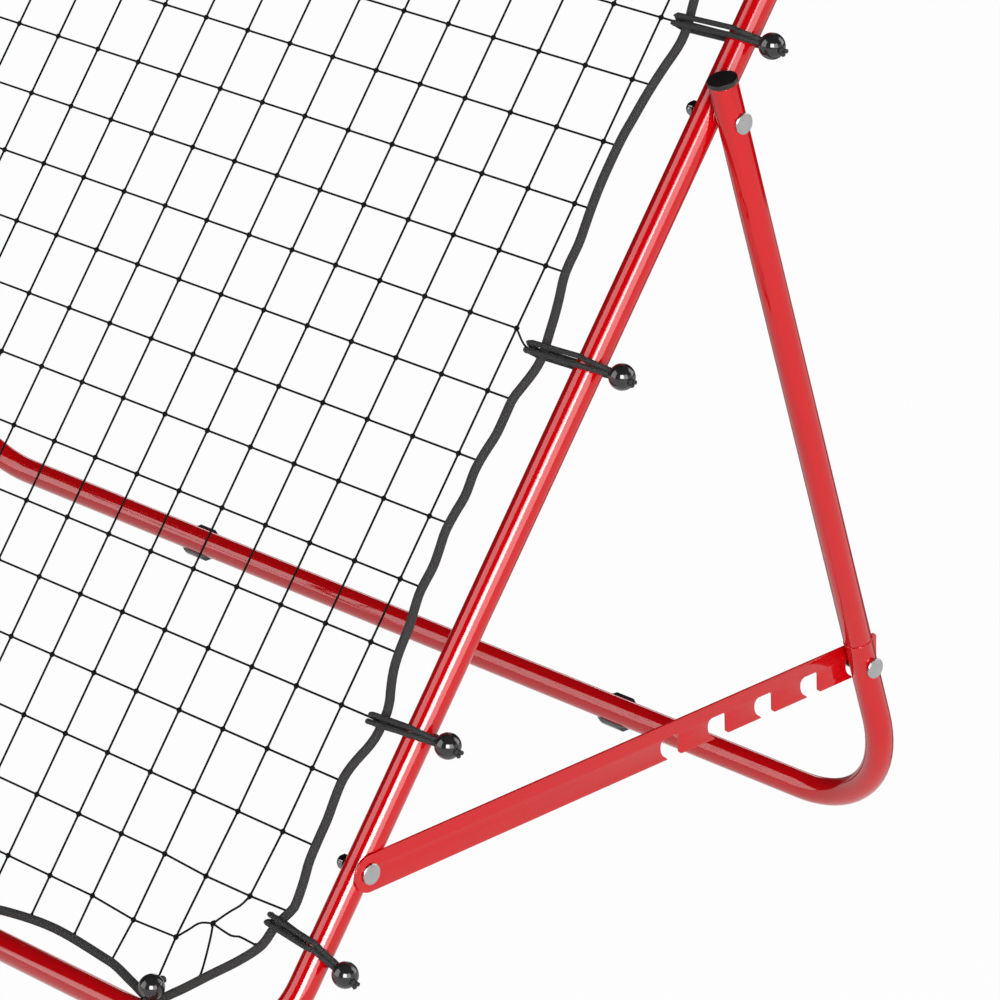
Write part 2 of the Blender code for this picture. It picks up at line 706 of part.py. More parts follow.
def tie_mesh(name, corners, ball, tail):
    """One ball with its two strands and its tail, joined into one solid."""
    shape = bmesh.new()
    bmesh.ops.create_uvsphere(
        shape,
        u_segments=BALL_SEGMENTS,
        v_segments=BALL_RINGS,
        radius=BALL_RADIUS,
        matrix=Matrix.Translation((*ball, 0)) @ Matrix.Rotation(pi / BALL_SEGMENTS, 4, "Z"),
    )
    body = mesh_object(name, mesh_from_bmesh(name, shape))
    helpers = []
    for shift in (STRAND_SPREAD, -STRAND_SPREAD):
        path = [(across, back, shift) for across, back in [ball] + corners]
        helpers.append(tube_curve(name + "_strand", path, STRAND_RADIUS, STRAND_BEVEL, closed=True))
    end = Vector(ball) + Vector(tail) * (BALL_RADIUS + TAIL_LENGTH)
    stub = [(*ball, 0), (end.x, end.y, 0)]
    helpers.append(tube_curve(name + "_tail", stub, STRAND_RADIUS, STRAND_BEVEL))
    solids = [mesh_object(helper.name, baked(helper, helper.name)) for helper in helpers]
    for solid in solids:
        join = body.modifiers.new("join", "BOOLEAN")
        join.operation = "UNION"
        join.object = solid
    mesh = baked(body, name)
    for solid in solids:
        bpy.data.objects.remove(solid, do_unlink=True)
    return mesh


def ball_ties(spots):
    meshes = {}
    for number, tie in enumerate(spots, 1):
        name = f"ball_tie_{number:02d}"
        if tie.depth not in meshes:
            ball = (-LOW_BALL_UP, -LOW_BALL_FRONT) if tie.low else (BALL_OUT, 0.0)
            corners = low_tie_corners(tie.depth, ball) if tie.low else outer_tie_corners(tie.depth)
            meshes[tie.depth] = tie_mesh(name, corners, ball, (-1, 0) if tie.low else (1, 0))
        turn = atan2(tie.inward.y, -tie.inward.x)
        made = mesh_object(name, meshes[tie.depth].copy())
        place = (tie.spot.x, 0, tie.spot.y)
        finish(made, name, "black elastic", front, place, (0, turn, 0))


def floor_centre():
    """Middle of the object's box, on the floor, from the finished solids."""
    depsgraph = bpy.context.evaluated_depsgraph_get()
    across = []
    along = []
    for part in parts.objects:
        if part.type != "MESH":
            continue
        solid = part.evaluated_get(depsgraph)
        for vert in solid.data.vertices:
            place = solid.matrix_world @ vert.co
            across.append(place.x)
            along.append(place.y)
    return Vector(((min(across) + max(across)) / 2, (min(along) + max(along)) / 2, 0))


clear_scene()
parts = new_collection("soccer_rebound_net")
cutters = new_collection("cutters")
paint = {
    "red paint": principled("red paint", (0.60, 0.010, 0.012), 0.22, 0.0),
    "black plastic": principled("black plastic", (0.012, 0.012, 0.013), 0.35, 0.0),
    "black rope": principled("black rope", (0.045, 0.045, 0.047), 0.75, 0.0),
    "black twine": principled("black twine", (0.015, 0.015, 0.016), 0.80, 0.0),
    "black elastic": principled("black elastic", (0.030, 0.030, 0.032), 0.30, 0.0),
    "zinc": principled("zinc", (0.62, 0.63, 0.64), 0.30, 1.0),
    "dark chrome": principled("dark chrome", (0.10, 0.10, 0.11), 0.15, 1.0),
}

root = empty("rebound_net")
front = empty("front_frame", root, (0, 0, FRONT_FLOOR), -LEAN)
pivot_place = (0, PIVOT_UP * sin(LEAN), FRONT_FLOOR + PIVOT_UP * cos(LEAN))
stand = empty("stand_fold", root, pivot_place, SPLAY)

tie_spots = ties()
rope_line = rope_route(tie_spots)
edge_rope(rope_line)
net(rope_line, tie_spots)
ball_ties(tie_spots)
rear_u_tube()
for way in (1, -1):
    frame_half(way)
    upper_leg(way)
    end_cap(way)
    foot(way)
    bolt_height = FRONT_FLOOR + STAY_BOLT_UP * cos(LEAN)
    bolt_place = (way * (RAIL_X + STAY_INNER + STAY_THICKNESS / 2), STAY_BOLT_UP * sin(LEAN), bolt_height)
    swing = empty("stay_swing_right" if way > 0 else "stay_swing_left", root, bolt_place, SLOPE)
    stay(way, swing)
    side_hardware(way, swing)

bpy.context.view_layer.update()
root.location = -floor_centre()
bpy.context.view_layer.update()
for frame_object in (front, stand, swing):
    print(frame_object.name, [round(value, 6) for value in frame_object.matrix_world.translation])
print("lean, splay, slope", [round(degrees(value), 4) for value in (LEAN, SPLAY, SLOPE)])
print("fold, swing, ratio", degrees(FOLD_ANGLE), degrees(SWING_ANGLE), -SWING_ANGLE / FOLD_ANGLE)
print("rear floor line", round(root.location.y + pivot_place[1] + LEG_LENGTH * sin(SPLAY), 6))
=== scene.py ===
# %% [markdown]
# # A soccer rebound net, dressed
#
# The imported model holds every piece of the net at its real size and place, with plain surfaces.
# This lesson gives the pieces their looks: smooth bent tubes, a net with a real knot at every
# crossing, a braided edge rope, elastic loops with glossy balls, and a deep gloss paint. Nothing
# moves from where the model has it.

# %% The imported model
import json
from math import acos, atan2, cos, degrees, hypot, pi, radians, sin

import bpy
from mathutils import Matrix, Vector
from mathutils.geometry import intersect_line_line_2d


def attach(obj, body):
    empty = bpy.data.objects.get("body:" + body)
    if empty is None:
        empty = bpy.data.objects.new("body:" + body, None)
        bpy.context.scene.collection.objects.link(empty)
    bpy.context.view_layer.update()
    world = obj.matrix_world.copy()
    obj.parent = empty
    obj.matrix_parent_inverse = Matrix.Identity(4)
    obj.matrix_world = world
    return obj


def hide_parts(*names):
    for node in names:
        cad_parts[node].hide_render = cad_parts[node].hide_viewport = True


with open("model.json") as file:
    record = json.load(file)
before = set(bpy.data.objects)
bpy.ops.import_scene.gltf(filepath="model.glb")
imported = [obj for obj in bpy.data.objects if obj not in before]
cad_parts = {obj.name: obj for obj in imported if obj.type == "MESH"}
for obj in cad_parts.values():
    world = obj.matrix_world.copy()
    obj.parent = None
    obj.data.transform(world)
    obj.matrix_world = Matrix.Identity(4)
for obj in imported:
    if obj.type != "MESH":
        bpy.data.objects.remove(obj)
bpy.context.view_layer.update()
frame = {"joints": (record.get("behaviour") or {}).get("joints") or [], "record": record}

# %% [markdown]
# ## Where the three moving parts stand
#
# The frame leans back, the stand's legs splay behind it, and a stay on each side holds them apart.
# Everything is drawn flat first, in the part's own upright plane, and is then leaned into place.
# So each part needs one matrix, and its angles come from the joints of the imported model.

# %% Places and angles from the joints
GAP = 0.0003
TUBE_RADIUS = 0.0125
FOOT_WALL = 0.005
PIVOT_UP = 0.868
REAR_BOLT_DOWN = 0.5618

joint_place = {joint["name"]: Vector(joint["pos_m"]) for joint in frame["joints"]}
pivot = joint_place["stand_fold"]
stay_bolt = joint_place["stay_swing_right"]
foot_place = Vector(frame["record"]["mounts"][0]["pos_m"])
crossbar = Vector((0, foot_place.y, TUBE_RADIUS + GAP + FOOT_WALL))

lean = atan2(pivot.y - stay_bolt.y, pivot.z - stay_bolt.z)
splay = atan2(crossbar.y - pivot.y, pivot.z - crossbar.z)
LEG_LENGTH = hypot(crossbar.y - pivot.y, pivot.z - crossbar.z)
STAY_BOLT_UP = PIVOT_UP - hypot(pivot.y - stay_bolt.y, pivot.z - stay_bolt.z)

frame_foot = pivot - Vector((0, sin(lean), cos(lean))) * PIVOT_UP
in_frame = Matrix.Translation(frame_foot) @ Matrix.Rotation(-lean, 4, "X")
in_stand = Matrix.Translation(pivot) @ Matrix.Rotation(splay, 4, "X")

stud = in_stand @ Vector((0, 0, -REAR_BOLT_DOWN))
slope = atan2(stud.z - stay_bolt.z, stud.y - stay_bolt.y)
STAY_REACH = hypot(stud.z - stay_bolt.z, stud.y - stay_bolt.y)
in_stay = Matrix.Translation((0, stay_bolt.y, stay_bolt.z)) @ Matrix.Rotation(slope, 4, "X")
print("lean, splay, slope:", [round(degrees(angle), 3) for angle in (lean, splay, slope)])
print("leg, stay:", round(LEG_LENGTH, 4), round(STAY_REACH, 4))

# %% Sizes across the frame
STAY_THICKNESS = 0.002
STAY_INNER = TUBE_RADIUS + GAP
STAY_OUTER = STAY_INNER + STAY_THICKNESS
RAIL_X = stay_bolt.x - STAY_INNER - STAY_THICKNESS / 2
LEG_X = RAIL_X + STAY_OUTER + GAP + TUBE_RADIUS
FRAME_HEIGHT = 1.290
print("rail and leg from the middle:", round(RAIL_X, 4), round(LEG_X, 4))

# %% [markdown]
# ## The camera
#
# The photograph is taken with a long lens from the right, a little above the net, and close in on
# the lower right part. The camera's place was found by matching the tubes' outlines, so it is
# written as a turn round the object, a height angle, a small roll and a step from the right pivot.

# %% Set up the camera
VIEW_TURN = radians(46.4534)
VIEW_HEIGHT = radians(21.2049)
VIEW_ROLL = radians(-0.0966)
LENS = 208.722
SENSOR_WIDTH = 36
FARTHEST = 100
FROM_PIVOT = Vector((3.18901, -3.26810, 1.42891))

level = Vector((cos(VIEW_TURN), sin(VIEW_TURN), 0))
upward = Vector((-sin(VIEW_HEIGHT) * sin(VIEW_TURN), sin(VIEW_HEIGHT) * cos(VIEW_TURN), cos(VIEW_HEIGHT)))
backward = level.cross(upward)
across = level * cos(VIEW_ROLL) + upward * sin(VIEW_ROLL)
above = upward * cos(VIEW_ROLL) - level * sin(VIEW_ROLL)

bpy.ops.object.camera_add(location=(0, 0, 0))
camera = bpy.context.object
camera.name = "photo_camera"
camera.data.lens = LENS
camera.data.sensor_width = SENSOR_WIDTH
camera.data.clip_end = FARTHEST
eye = Vector((RAIL_X, pivot.y, pivot.z)) + FROM_PIVOT
turned = Matrix((across, above, backward)).transposed().to_4x4()
camera.matrix_world = Matrix.Translation(eye) @ turned
bpy.context.scene.camera = camera
print("camera at", [round(value, 3) for value in eye])

# %% [markdown]
# ## Working helpers
#
# In edit mode an operator acts on everything that is selected, so each step begins with a clean
# selection. A finished piece has its place baked into its mesh and its object at the origin, so
# that patterns on object coordinates stay where they are when a joint turns.

# %% Helpers for selecting and finishing
ORIGIN = (0, 0, 0)
MERGE_WITHIN = 0.00001
SMOOTH_BELOW = 35
# A face whose normal is more upright than LEVEL is level, and a point within NEAR of a height is at it
LEVEL = 0.9
NEAR = 0.0001


def only(piece):
    """Leaves one object selected and active."""
    bpy.ops.object.select_all(action="DESELECT")
    piece.select_set(True)
    bpy.context.view_layer.objects.active = piece


def enter_edit():
    bpy.ops.object.mode_set(mode="EDIT")


def leave_edit():
    bpy.ops.object.mode_set(mode="OBJECT")


def edit_all(piece):
    """Opens a piece in edit mode with everything in it selected."""
    only(piece)
    enter_edit()
    bpy.ops.mesh.select_all(action="SELECT")


def clear_selection(kind):
    """Deselects all that the active piece has, and selects points or faces from here on."""
    enter_edit()
    bpy.ops.mesh.select_mode(type=kind)
    bpy.ops.mesh.select_all(action="DESELECT")
    leave_edit()


def select_verts(piece, test):
    """Selects the points of the active piece that pass a test on their place. Ends in edit mode."""
    clear_selection("VERT")
    for vert in piece.data.vertices:
        vert.select = test(vert.co)
    enter_edit()


def select_faces(piece, test):
    """Selects the faces of the active piece that pass a test on their normal. Ends in edit mode."""
    clear_selection("FACE")
    for face in piece.data.polygons:
        face.select = test(face.normal)
    enter_edit()


def extrude(step):
    bpy.ops.mesh.extrude_region_move(TRANSFORM_OT_translate={"value": step})


def stretch(by, centre=ORIGIN):
    bpy.ops.transform.resize(value=by, center_override=centre)


def tidy_mesh(piece, outside=True):
    """Merges doubled points and, on a skin without a wall yet, turns the faces outwards."""
    edit_all(piece)
    bpy.ops.mesh.remove_doubles(threshold=MERGE_WITHIN)
    if outside:
        bpy.ops.mesh.normals_make_consistent(inside=False)
    leave_edit()


def apply_modifier(piece, kind, **settings):
    only(piece)
    modifier = piece.modifiers.new(kind.lower(), kind)
    for name, value in settings.items():
        setattr(modifier, name, value)
    bpy.ops.object.modifier_apply(modifier=modifier.name)


def shade(piece, angle=SMOOTH_BELOW):
    """Shades a piece smooth, but for edges sharper than an angle in degrees."""
    only(piece)
    bpy.ops.object.shade_smooth_by_angle(angle=radians(angle))


def soften(piece, width, segments=2, angle=SMOOTH_BELOW):
    """Rounds the sharp edges and shades the rest smooth."""
    apply_modifier(piece, "BEVEL", width=width, segments=segments, angle_limit=radians(angle))
    shade(piece, angle)


def bake_place(piece):
    """Moves a piece's place, turn and scale into its mesh."""
    only(piece)
    bpy.ops.object.transform_apply(location=True, rotation=True, scale=True)
    return piece


def new_disc(radius, height, sides=64, middle=0.0):
    """A cylinder along Z."""
    bpy.ops.object.select_all(action="DESELECT")
    bpy.ops.mesh.primitive_cylinder_add(vertices=sides, radius=radius, depth=height, location=(0, 0, middle))
    return bake_place(bpy.context.object)


def new_ball(radius, sides, rings):
    """A ball at the origin with its poles up and down."""
    bpy.ops.object.select_all(action="DESELECT")
    bpy.ops.mesh.primitive_uv_sphere_add(segments=sides, ring_count=rings, radius=radius, location=ORIGIN)
    return bpy.context.object


def copy_of(piece, name):
    """A second object with its own mesh."""
    twin = piece.copy()
    twin.data = piece.data.copy()
    twin.name = name
    twin.data.name = name
    bpy.context.scene.collection.objects.link(twin)
    return twin


def mirrored(piece, name):
    """A left-hand copy, mirrored across the middle of the object, its faces turned back out."""
    twin = copy_of(piece, name)
    edit_all(twin)
    stretch((-1, 1, 1))
    bpy.ops.mesh.flip_normals()
    leave_edit()
    return twin


def join(pieces):
    """Joins all pieces into the first."""
    only(pieces[0])
    for piece in pieces[1:]:
        piece.select_set(True)
    bpy.ops.object.join()
    return pieces[0]


def fit(piece, name, body, slot, finish, *nodes, place=None):
    """Puts a finished piece in place, paints it and hands it to its moving body."""
    piece.name = name
    piece.data.name = name
    if place:
        piece.matrix_world = place @ piece.matrix_world
        bake_place(piece)
    piece.data.materials.clear()
    piece.data.materials.append(finish)
    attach(piece, body)
    if nodes:
        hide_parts(*nodes)


def fit_pair(piece, name, body, slot, finish, node, place, left_body=None):
    """Fits a piece on the right, and its mirror image on the left."""
    fit(piece, f"{name}_right", body, slot, finish, f"{node}_right", place=place)
    twin = mirrored(piece, f"{name}_left")
    fit(twin, f"{name}_left", left_body or body, slot, finish, f"{node}_left")


print("helpers ready")

# %% [markdown]
# ## Shader groups
#
# Two effects serve several finishes, so each is a node group. `fine_grain` gives a small bump and
# slow, soft patches, for paint, metal and moulded plastic. `braid` gives the raised and sunk
# strands of a braided or laid cord, on the cord's own UV map: U runs along it and V round it. Its
# mask of lit tops paints the sunk gaps between strands darker, as painted shade.

# %% Small helpers for nodes
def add_node(tree, kind, label, spot, inputs=None, **settings):
    """A shader node. An input given as a value is typed in, and one given as a socket is linked."""
    made = tree.nodes.new(kind)
    made.label = label
    made.location = spot
    for name, value in settings.items():
        setattr(made, name, value)
    for name, value in (inputs or {}).items():
        if isinstance(value, bpy.types.NodeSocket):
            tree.links.new(value, made.inputs[name])
        else:
            made.inputs[name].default_value = value
    return made


def math_node(tree, operation, spot, *values):
    """A Math node on numbers or sockets."""
    inputs = dict(enumerate(values))
    return add_node(tree, "ShaderNodeMath", operation.lower(), spot, inputs, operation=operation).outputs[0]


def soft_step(tree, source, start, end, spot):
    """0 before the start, 1 past the end, with an even blend between them."""
    inputs = {"Value": source, "From Min": start, "From Max": end}
    ramp = add_node(tree, "ShaderNodeMapRange", "soft step", spot, inputs, interpolation_type="SMOOTHSTEP")
    return ramp.outputs["Result"]


def open_group(name, inputs):
    """A shader node group and its entry. An input without a value is a place, the others are numbers."""
    group = bpy.data.node_groups.new(name, "ShaderNodeTree")
    for title, value in inputs.items():
        kind = "NodeSocketVector" if value is None else "NodeSocketFloat"
        socket = group.interface.new_socket(title, in_out="INPUT", socket_type=kind)
        if value is not None:
            socket.default_value = value
    return group, add_node(group, "NodeGroupInput", "in", (-1100, 0)).outputs


def close_group(group, outputs):
    """Names the group's outputs, each fed by a node inside."""
    for title in outputs:
        group.interface.new_socket(title, in_out="OUTPUT", socket_type="NodeSocketFloat")
    add_node(group, "NodeGroupOutput", "out", (600, 0), outputs)
    print("group:", group.name)


print("node helpers ready")

# %% The group for fine grain and soft patches
fine_grain, entry = open_group("fine_grain", {"Place": None, "Grain": 800.0, "Patch": 9.0})
bumps = add_node(fine_grain, "ShaderNodeTexNoise", "grain", (-300, 150),
                 {"Vector": entry["Place"], "Scale": entry["Grain"], "Detail": 3.0})
patches = add_node(fine_grain, "ShaderNodeTexNoise", "patches", (-300, -150),
                   {"Vector": entry["Place"], "Scale": entry["Patch"], "Detail": 4.0})
spread = add_node(fine_grain, "ShaderNodeMapRange", "spread", (0, -150),
                  {"Value": patches.outputs["Fac"], "From Min": 0.35, "From Max": 0.65})
close_group(fine_grain, {"Height": bumps.outputs["Fac"], "Patches": spread.outputs["Result"]})

# %% The group for braided and laid cord, with painted shade between its strands
# How narrow the lit strand tops are, against the painted shade in the gaps between strands
TOP_SHARPNESS = 3.0

braid, entry = open_group("braid", {"UV": None, "Turns": 100.0, "Strands": 8.0, "Crossing": 1.0})
parts = add_node(braid, "ShaderNodeSeparateXYZ", "along and round", (-900, 0), {0: entry["UV"]})
along_cord = math_node(braid, "MULTIPLY", (-700, 150), parts.outputs["X"], entry["Turns"])
about_cord = math_node(braid, "MULTIPLY", (-700, -150), parts.outputs["Y"], entry["Strands"])
strands = []
for operation, y in (("ADD", 150), ("SUBTRACT", -150)):
    leaning = math_node(braid, operation, (-500, y), along_cord, about_cord)
    half_turns = math_node(braid, "MULTIPLY", (-320, y), leaning, pi)
    wave = math_node(braid, "SINE", (-150, y), half_turns)
    strands.append(math_node(braid, "ABSOLUTE", (20, y), wave))
crossing = math_node(braid, "MULTIPLY", (180, -150), strands[1], entry["Crossing"])
strand_height = math_node(braid, "MAXIMUM", (320, 0), strands[0], crossing)
# Mask of lit tops: 1 on the raised strands, falling to 0 in the gaps between them, which get painted shade
lit_tops = math_node(braid, "POWER", (450, -150), strand_height, TOP_SHARPNESS)
close_group(braid, {"Height": strand_height, "Lit tops": lit_tops})

# %% [markdown]
# ## Finishes
#
# The tubes and stays are sprayed in a deep, smooth, glossy red, whose tone and gloss drift a little
# along a tube. Bolt heads are zinc plated, the dome nuts are nearly black chrome, caps and feet are
# moulded plastic, and the balls are the same plastic, polished. A value that is the same all over
# sits on the shader itself, and only what changes over the surface comes from nodes.

# %% A finish from the fine grain
GRAIN_DEPTH = 0.0001


def start_finish(name, constants):
    """A Principled material, with the values that are the same all over typed in."""
    finish = bpy.data.materials.new(name)
    finish.use_nodes = True
    tree = finish.node_tree
    shader = tree.nodes["Principled BSDF"]
    for socket, value in constants.items():
        shader.inputs[socket].default_value = value
    return finish, tree, shader


def tones_and_relief(tree, shader, tones, mask, height, bump, depth):
    """Blends two tones by a mask, and raises a bump of a depth in metres."""
    first, second = [(*tone, 1) for tone in tones]
    blend = add_node(tree, "ShaderNodeMix", "tone", (-400, 200),
                     {"A": first, "B": second, "Factor": mask}, data_type="RGBA")
    relief = add_node(tree, "ShaderNodeBump", "relief", (-400, -250),
                      {"Strength": bump, "Distance": depth, "Height": height})
    tree.links.new(blend.outputs["Result"], shader.inputs["Base Color"])
    tree.links.new(relief.outputs["Normal"], shader.inputs["Normal"])


def grained_finish(name, tones, gloss, grain, patch, bump, constants):
    """Tone and roughness drift in soft patches, each between two values, under a fine grain."""
    finish, tree, shader = start_finish(name, constants)
    place = add_node(tree, "ShaderNodeTexCoord", "place", (-900, 0))
    inputs = {"Place": place.outputs["Object"], "Grain": grain, "Patch": patch}
    group = add_node(tree, "ShaderNodeGroup", "fine grain", (-700, 0), inputs, node_tree=fine_grain).outputs
    shine = add_node(tree, "ShaderNodeMapRange", "gloss", (-400, 0),
                     {"Value": group["Patches"], "To Min": gloss[0], "To Max": gloss[1]})
    tree.links.new(shine.outputs["Result"], shader.inputs["Roughness"])
    tones_and_relief(tree, shader, tones, group["Patches"], group["Height"], bump, GRAIN_DEPTH)
    return finish


red_paint = grained_finish(
    "red_paint", tones=((0.600, 0.0012, 0.0042), (0.612, 0.0014, 0.0046)), gloss=(0.05, 0.06),
    grain=160, patch=11, bump=0.002, constants={"IOR": 1.5})
zinc = grained_finish(
    "zinc_plate", tones=((0.40, 0.40, 0.40), (0.45, 0.45, 0.445)), gloss=(0.24, 0.32),
    grain=2600, patch=160, bump=0.06, constants={"Metallic": 1.0})
dark_chrome = grained_finish(
    "dark_chrome", tones=((0.15, 0.15, 0.16), (0.19, 0.19, 0.20)), gloss=(0.06, 0.10),
    grain=1800, patch=200, bump=0.04, constants={"Metallic": 1.0})
black_plastic = grained_finish(
    "moulded_plastic", tones=((0.007, 0.007, 0.008), (0.010, 0.010, 0.011)), gloss=(0.26, 0.36),
    grain=2200, patch=90, bump=0.08, constants={})
ball_gloss = grained_finish(
    "polished_ball", tones=((0.016, 0.016, 0.017), (0.022, 0.022, 0.023)), gloss=(0.07, 0.11),
    grain=900, patch=120, bump=0.03, constants={"IOR": 1.55})
print("finishes:", [finish.name for finish in (red_paint, zinc, dark_chrome, black_plastic, ball_gloss)])

# %% A finish for cords
STRAND_DEPTH = 0.0003


def cord_finish(name, tones, turns, strands, crossing, bump, constants):
    """Dark yarn with painted shade in the sunk gaps between strands and a lighter tone on the raised tops.
    Turns are counted over the whole UV map.
    """
    finish, tree, shader = start_finish(name, constants)
    chart = add_node(tree, "ShaderNodeUVMap", "chart", (-900, 0), uv_map="UVMap")
    inputs = {"UV": chart.outputs["UV"], "Turns": turns, "Strands": strands, "Crossing": crossing}
    group = add_node(tree, "ShaderNodeGroup", "braid", (-700, 0), inputs, node_tree=braid).outputs
    # The first tone is painted shade in the gaps between strands, the second the lit strand tops
    tones_and_relief(tree, shader, tones, group["Lit tops"], group["Height"], bump, STRAND_DEPTH)
    return finish


print("cord finish ready")

# %% [markdown]
# ## Bent tubes
#
# The frame and the stand are one size of round steel tube, bent cold. By hand this is a circle,
# extruded along each straight run and spun round each bend, which keeps the section round. A wall
# is added on the inside, and the cut ends are rounded a little, as they show where a tube plugs
# into another.

# %% Draw a tube with extrude and spin
TUBE_SIDES = 48
TUBE_WALL = 0.0012
BEND_RINGS = 20
CUT_ROUNDING = 0.0004
CUT_ANGLE = 50


def bent_tube(start, heading, runs):
    """A skin in the XZ plane. Each run is a straight length, or ("bend", radius) for a right turn."""
    spot = Vector(start)
    heading = Vector(heading)
    facing = heading.to_track_quat("Z", "Y").to_euler()
    bpy.ops.object.select_all(action="DESELECT")
    bpy.ops.mesh.primitive_circle_add(vertices=TUBE_SIDES, radius=TUBE_RADIUS, location=spot, rotation=facing)
    tube = bake_place(bpy.context.object)
    edit_all(tube)
    for run in runs:
        if isinstance(run, tuple):
            inward = Vector((heading.z, 0, -heading.x))
            centre = spot + inward * run[1]
            bpy.ops.mesh.spin(steps=BEND_RINGS, angle=-pi / 2, center=centre, axis=(0, 1, 0))
            spot = centre + heading * run[1]
            heading = inward
        else:
            extrude(heading * run)
            spot = spot + heading * run
    leave_edit()
    tidy_mesh(tube)
    return tube


def give_wall(tube):
    """Thickens a skin inwards and rounds its cut ends."""
    apply_modifier(tube, "SOLIDIFY", thickness=TUBE_WALL, offset=-1, use_even_offset=True)
    soften(tube, CUT_ROUNDING, angle=CUT_ANGLE)


print("tube drawing ready")

# %% The front frame, in two halves that meet at the middle of the top and of the bottom
FRAME_BEND = 0.080
SEAM = GAP / 2

reach = RAIL_X - FRAME_BEND - SEAM
climb = FRAME_HEIGHT - 2 * FRAME_BEND
bend = ("bend", FRAME_BEND)
half = bent_tube((SEAM, 0, FRAME_HEIGHT), (1, 0, 0), [reach, bend, climb, bend, reach])
give_wall(half)
fit_pair(half, "frame_tube", "front_frame", "red_paint", red_paint, "frame_half", in_frame)

# %% The rear U tube, with a flared mouth on each side
STAND_BEND = 0.125
MOUTH_DOWN = 0.535
MOUTH_COLLAR = 0.0022
MOUTH_FLARE = 1.05

drop = LEG_LENGTH - MOUTH_DOWN - STAND_BEND - MOUTH_COLLAR
width = 2 * (LEG_X - STAND_BEND)
bend = ("bend", STAND_BEND)
u_runs = [MOUTH_COLLAR, drop, bend, width, bend, drop, MOUTH_COLLAR]
u_tube = bent_tube((LEG_X, 0, -MOUTH_DOWN), (0, 0, -1), u_runs)
for side in (1, -1):
    select_verts(u_tube, lambda spot: spot.z > -MOUTH_DOWN - NEAR and spot.x * side > 0)
    stretch((MOUTH_FLARE, MOUTH_FLARE, 1), (side * LEG_X, 0, -MOUTH_DOWN))
    leave_edit()
give_wall(u_tube)
fit(u_tube, "stand_tube", "rear_stand", "red_paint", red_paint, "rear_u_tube", place=in_stand)
print("stand tube:", len(u_tube.data.polygons), "faces")

# %% An upper leg is straight, its lower end pressed in to a spigot
LEG_ABOVE_PIVOT = 0.0358
LEG_SPIGOT = 0.060
SPIGOT_STEP = 0.0002
SPIGOT_RADIUS = TUBE_RADIUS - TUBE_WALL - GAP

pinch = SPIGOT_RADIUS / TUBE_RADIUS
leg = bent_tube((LEG_X, 0, LEG_ABOVE_PIVOT), (0, 0, -1), [LEG_ABOVE_PIVOT + MOUTH_DOWN - GAP])
select_verts(leg, lambda spot: spot.z < GAP - MOUTH_DOWN + NEAR)
extrude((0, 0, -SPIGOT_STEP))
stretch((pinch, pinch, 1), (LEG_X, 0, -MOUTH_DOWN))
extrude((0, 0, -LEG_SPIGOT))
leave_edit()
give_wall(leg)
fit_pair(leg, "leg_tube", "rear_stand", "red_paint", red_paint, "upper_leg", in_stand)
print("leg:", len(leg.data.polygons), "faces")

# %% [markdown]
# ## End caps
#
# A plastic plug closes the top of each leg. It is a short cylinder: the top is inset and set
# slightly lower, the rim is rounded, and the plug is extruded down into the tube.

# %% Model one cap and mirror it
CAP_RADIUS = 0.0129
CAP_RIM = 0.004
CAP_PLUG = 0.012
CAP_LIP = 0.0010
CAP_STEP = 0.0004
CAP_DISH = 0.0003
CAP_ROUNDING = 0.00035

cap = new_disc(CAP_RADIUS, CAP_RIM)
select_faces(cap, lambda normal: normal.z > LEVEL)
bpy.ops.mesh.inset(thickness=CAP_LIP)
bpy.ops.mesh.inset(thickness=CAP_STEP, depth=-CAP_DISH)
leave_edit()
select_faces(cap, lambda normal: normal.z < -LEVEL)
bpy.ops.mesh.inset(thickness=CAP_RADIUS - SPIGOT_RADIUS)
extrude((0, 0, -CAP_PLUG))
leave_edit()
soften(cap, CAP_ROUNDING, segments=3)
cap_place = in_stand @ Matrix.Translation((LEG_X, 0, LEG_ABOVE_PIVOT + GAP + CAP_RIM / 2))
fit_pair(cap, "leg_cap", "rear_stand", "black_plastic", black_plastic, "end_cap", cap_place)
print("cap:", len(cap.data.polygons), "faces")

# %% [markdown]
# ## Plates cut from a flat outline
#
# The stays and the clip-on feet have one outline all through their thickness. A flat curve with an
# extrude is the quickest way to such a plate: its straight parts have two points and its round
# parts are short arcs. It becomes a mesh before its edges are rounded.

# %% Arcs and plates
ARC_STEPS = 10


def arc(centre, radius, start, end, steps=ARC_STEPS):
    """Points of an arc in a plane, ends included."""
    angles = [start + (end - start) * step / steps for step in range(steps + 1)]
    return [(centre[0] + radius * cos(angle), centre[1] + radius * sin(angle)) for angle in angles]


def curve_mesh(lines, closed, **settings):
    """The mesh of a curve that runs straight from point to point of each line."""
    curve = bpy.data.curves.new("lines", "CURVE")
    for name, value in settings.items():
        setattr(curve, name, value)
    for line in lines:
        spline = curve.splines.new("POLY")
        spline.points.add(len(line) - 1)
        for point, spot in zip(spline.points, line):
            point.co = (*spot, 1)
        spline.use_cyclic_u = closed
    made = bpy.data.objects.new("lines", curve)
    bpy.context.scene.collection.objects.link(made)
    only(made)
    bpy.ops.object.convert(target="MESH")
    made = bpy.context.object
    tidy_mesh(made, outside=False)
    return made


def plate(outlines, thickness):
    """A plate in its own XY plane. The first outline is the rim and the others are holes."""
    lines = [[(x, y, 0) for x, y in outline] for outline in outlines]
    return curve_mesh(lines, True, dimensions="2D", fill_mode="BOTH", extrude=thickness / 2)


# A plate is drawn in X and Y with its thickness along Z: this turns them to Y, Z and X
PLATE_TURN = Matrix(((0, 0, 1, 0), (1, 0, 0, 0), (0, 1, 0, 0), (0, 0, 0, 1)))
print("plates ready")

# %% [markdown]
# ## The stays
#
# A stay is a flat bar with five hook-shaped notches in its lower edge. The stand's stud hangs in
# one of them, and the notch it hangs in sets how far the frame leans. Each notch has a round
# front wall that ends in a pointed toe, a straight rear wall and rounded corners.

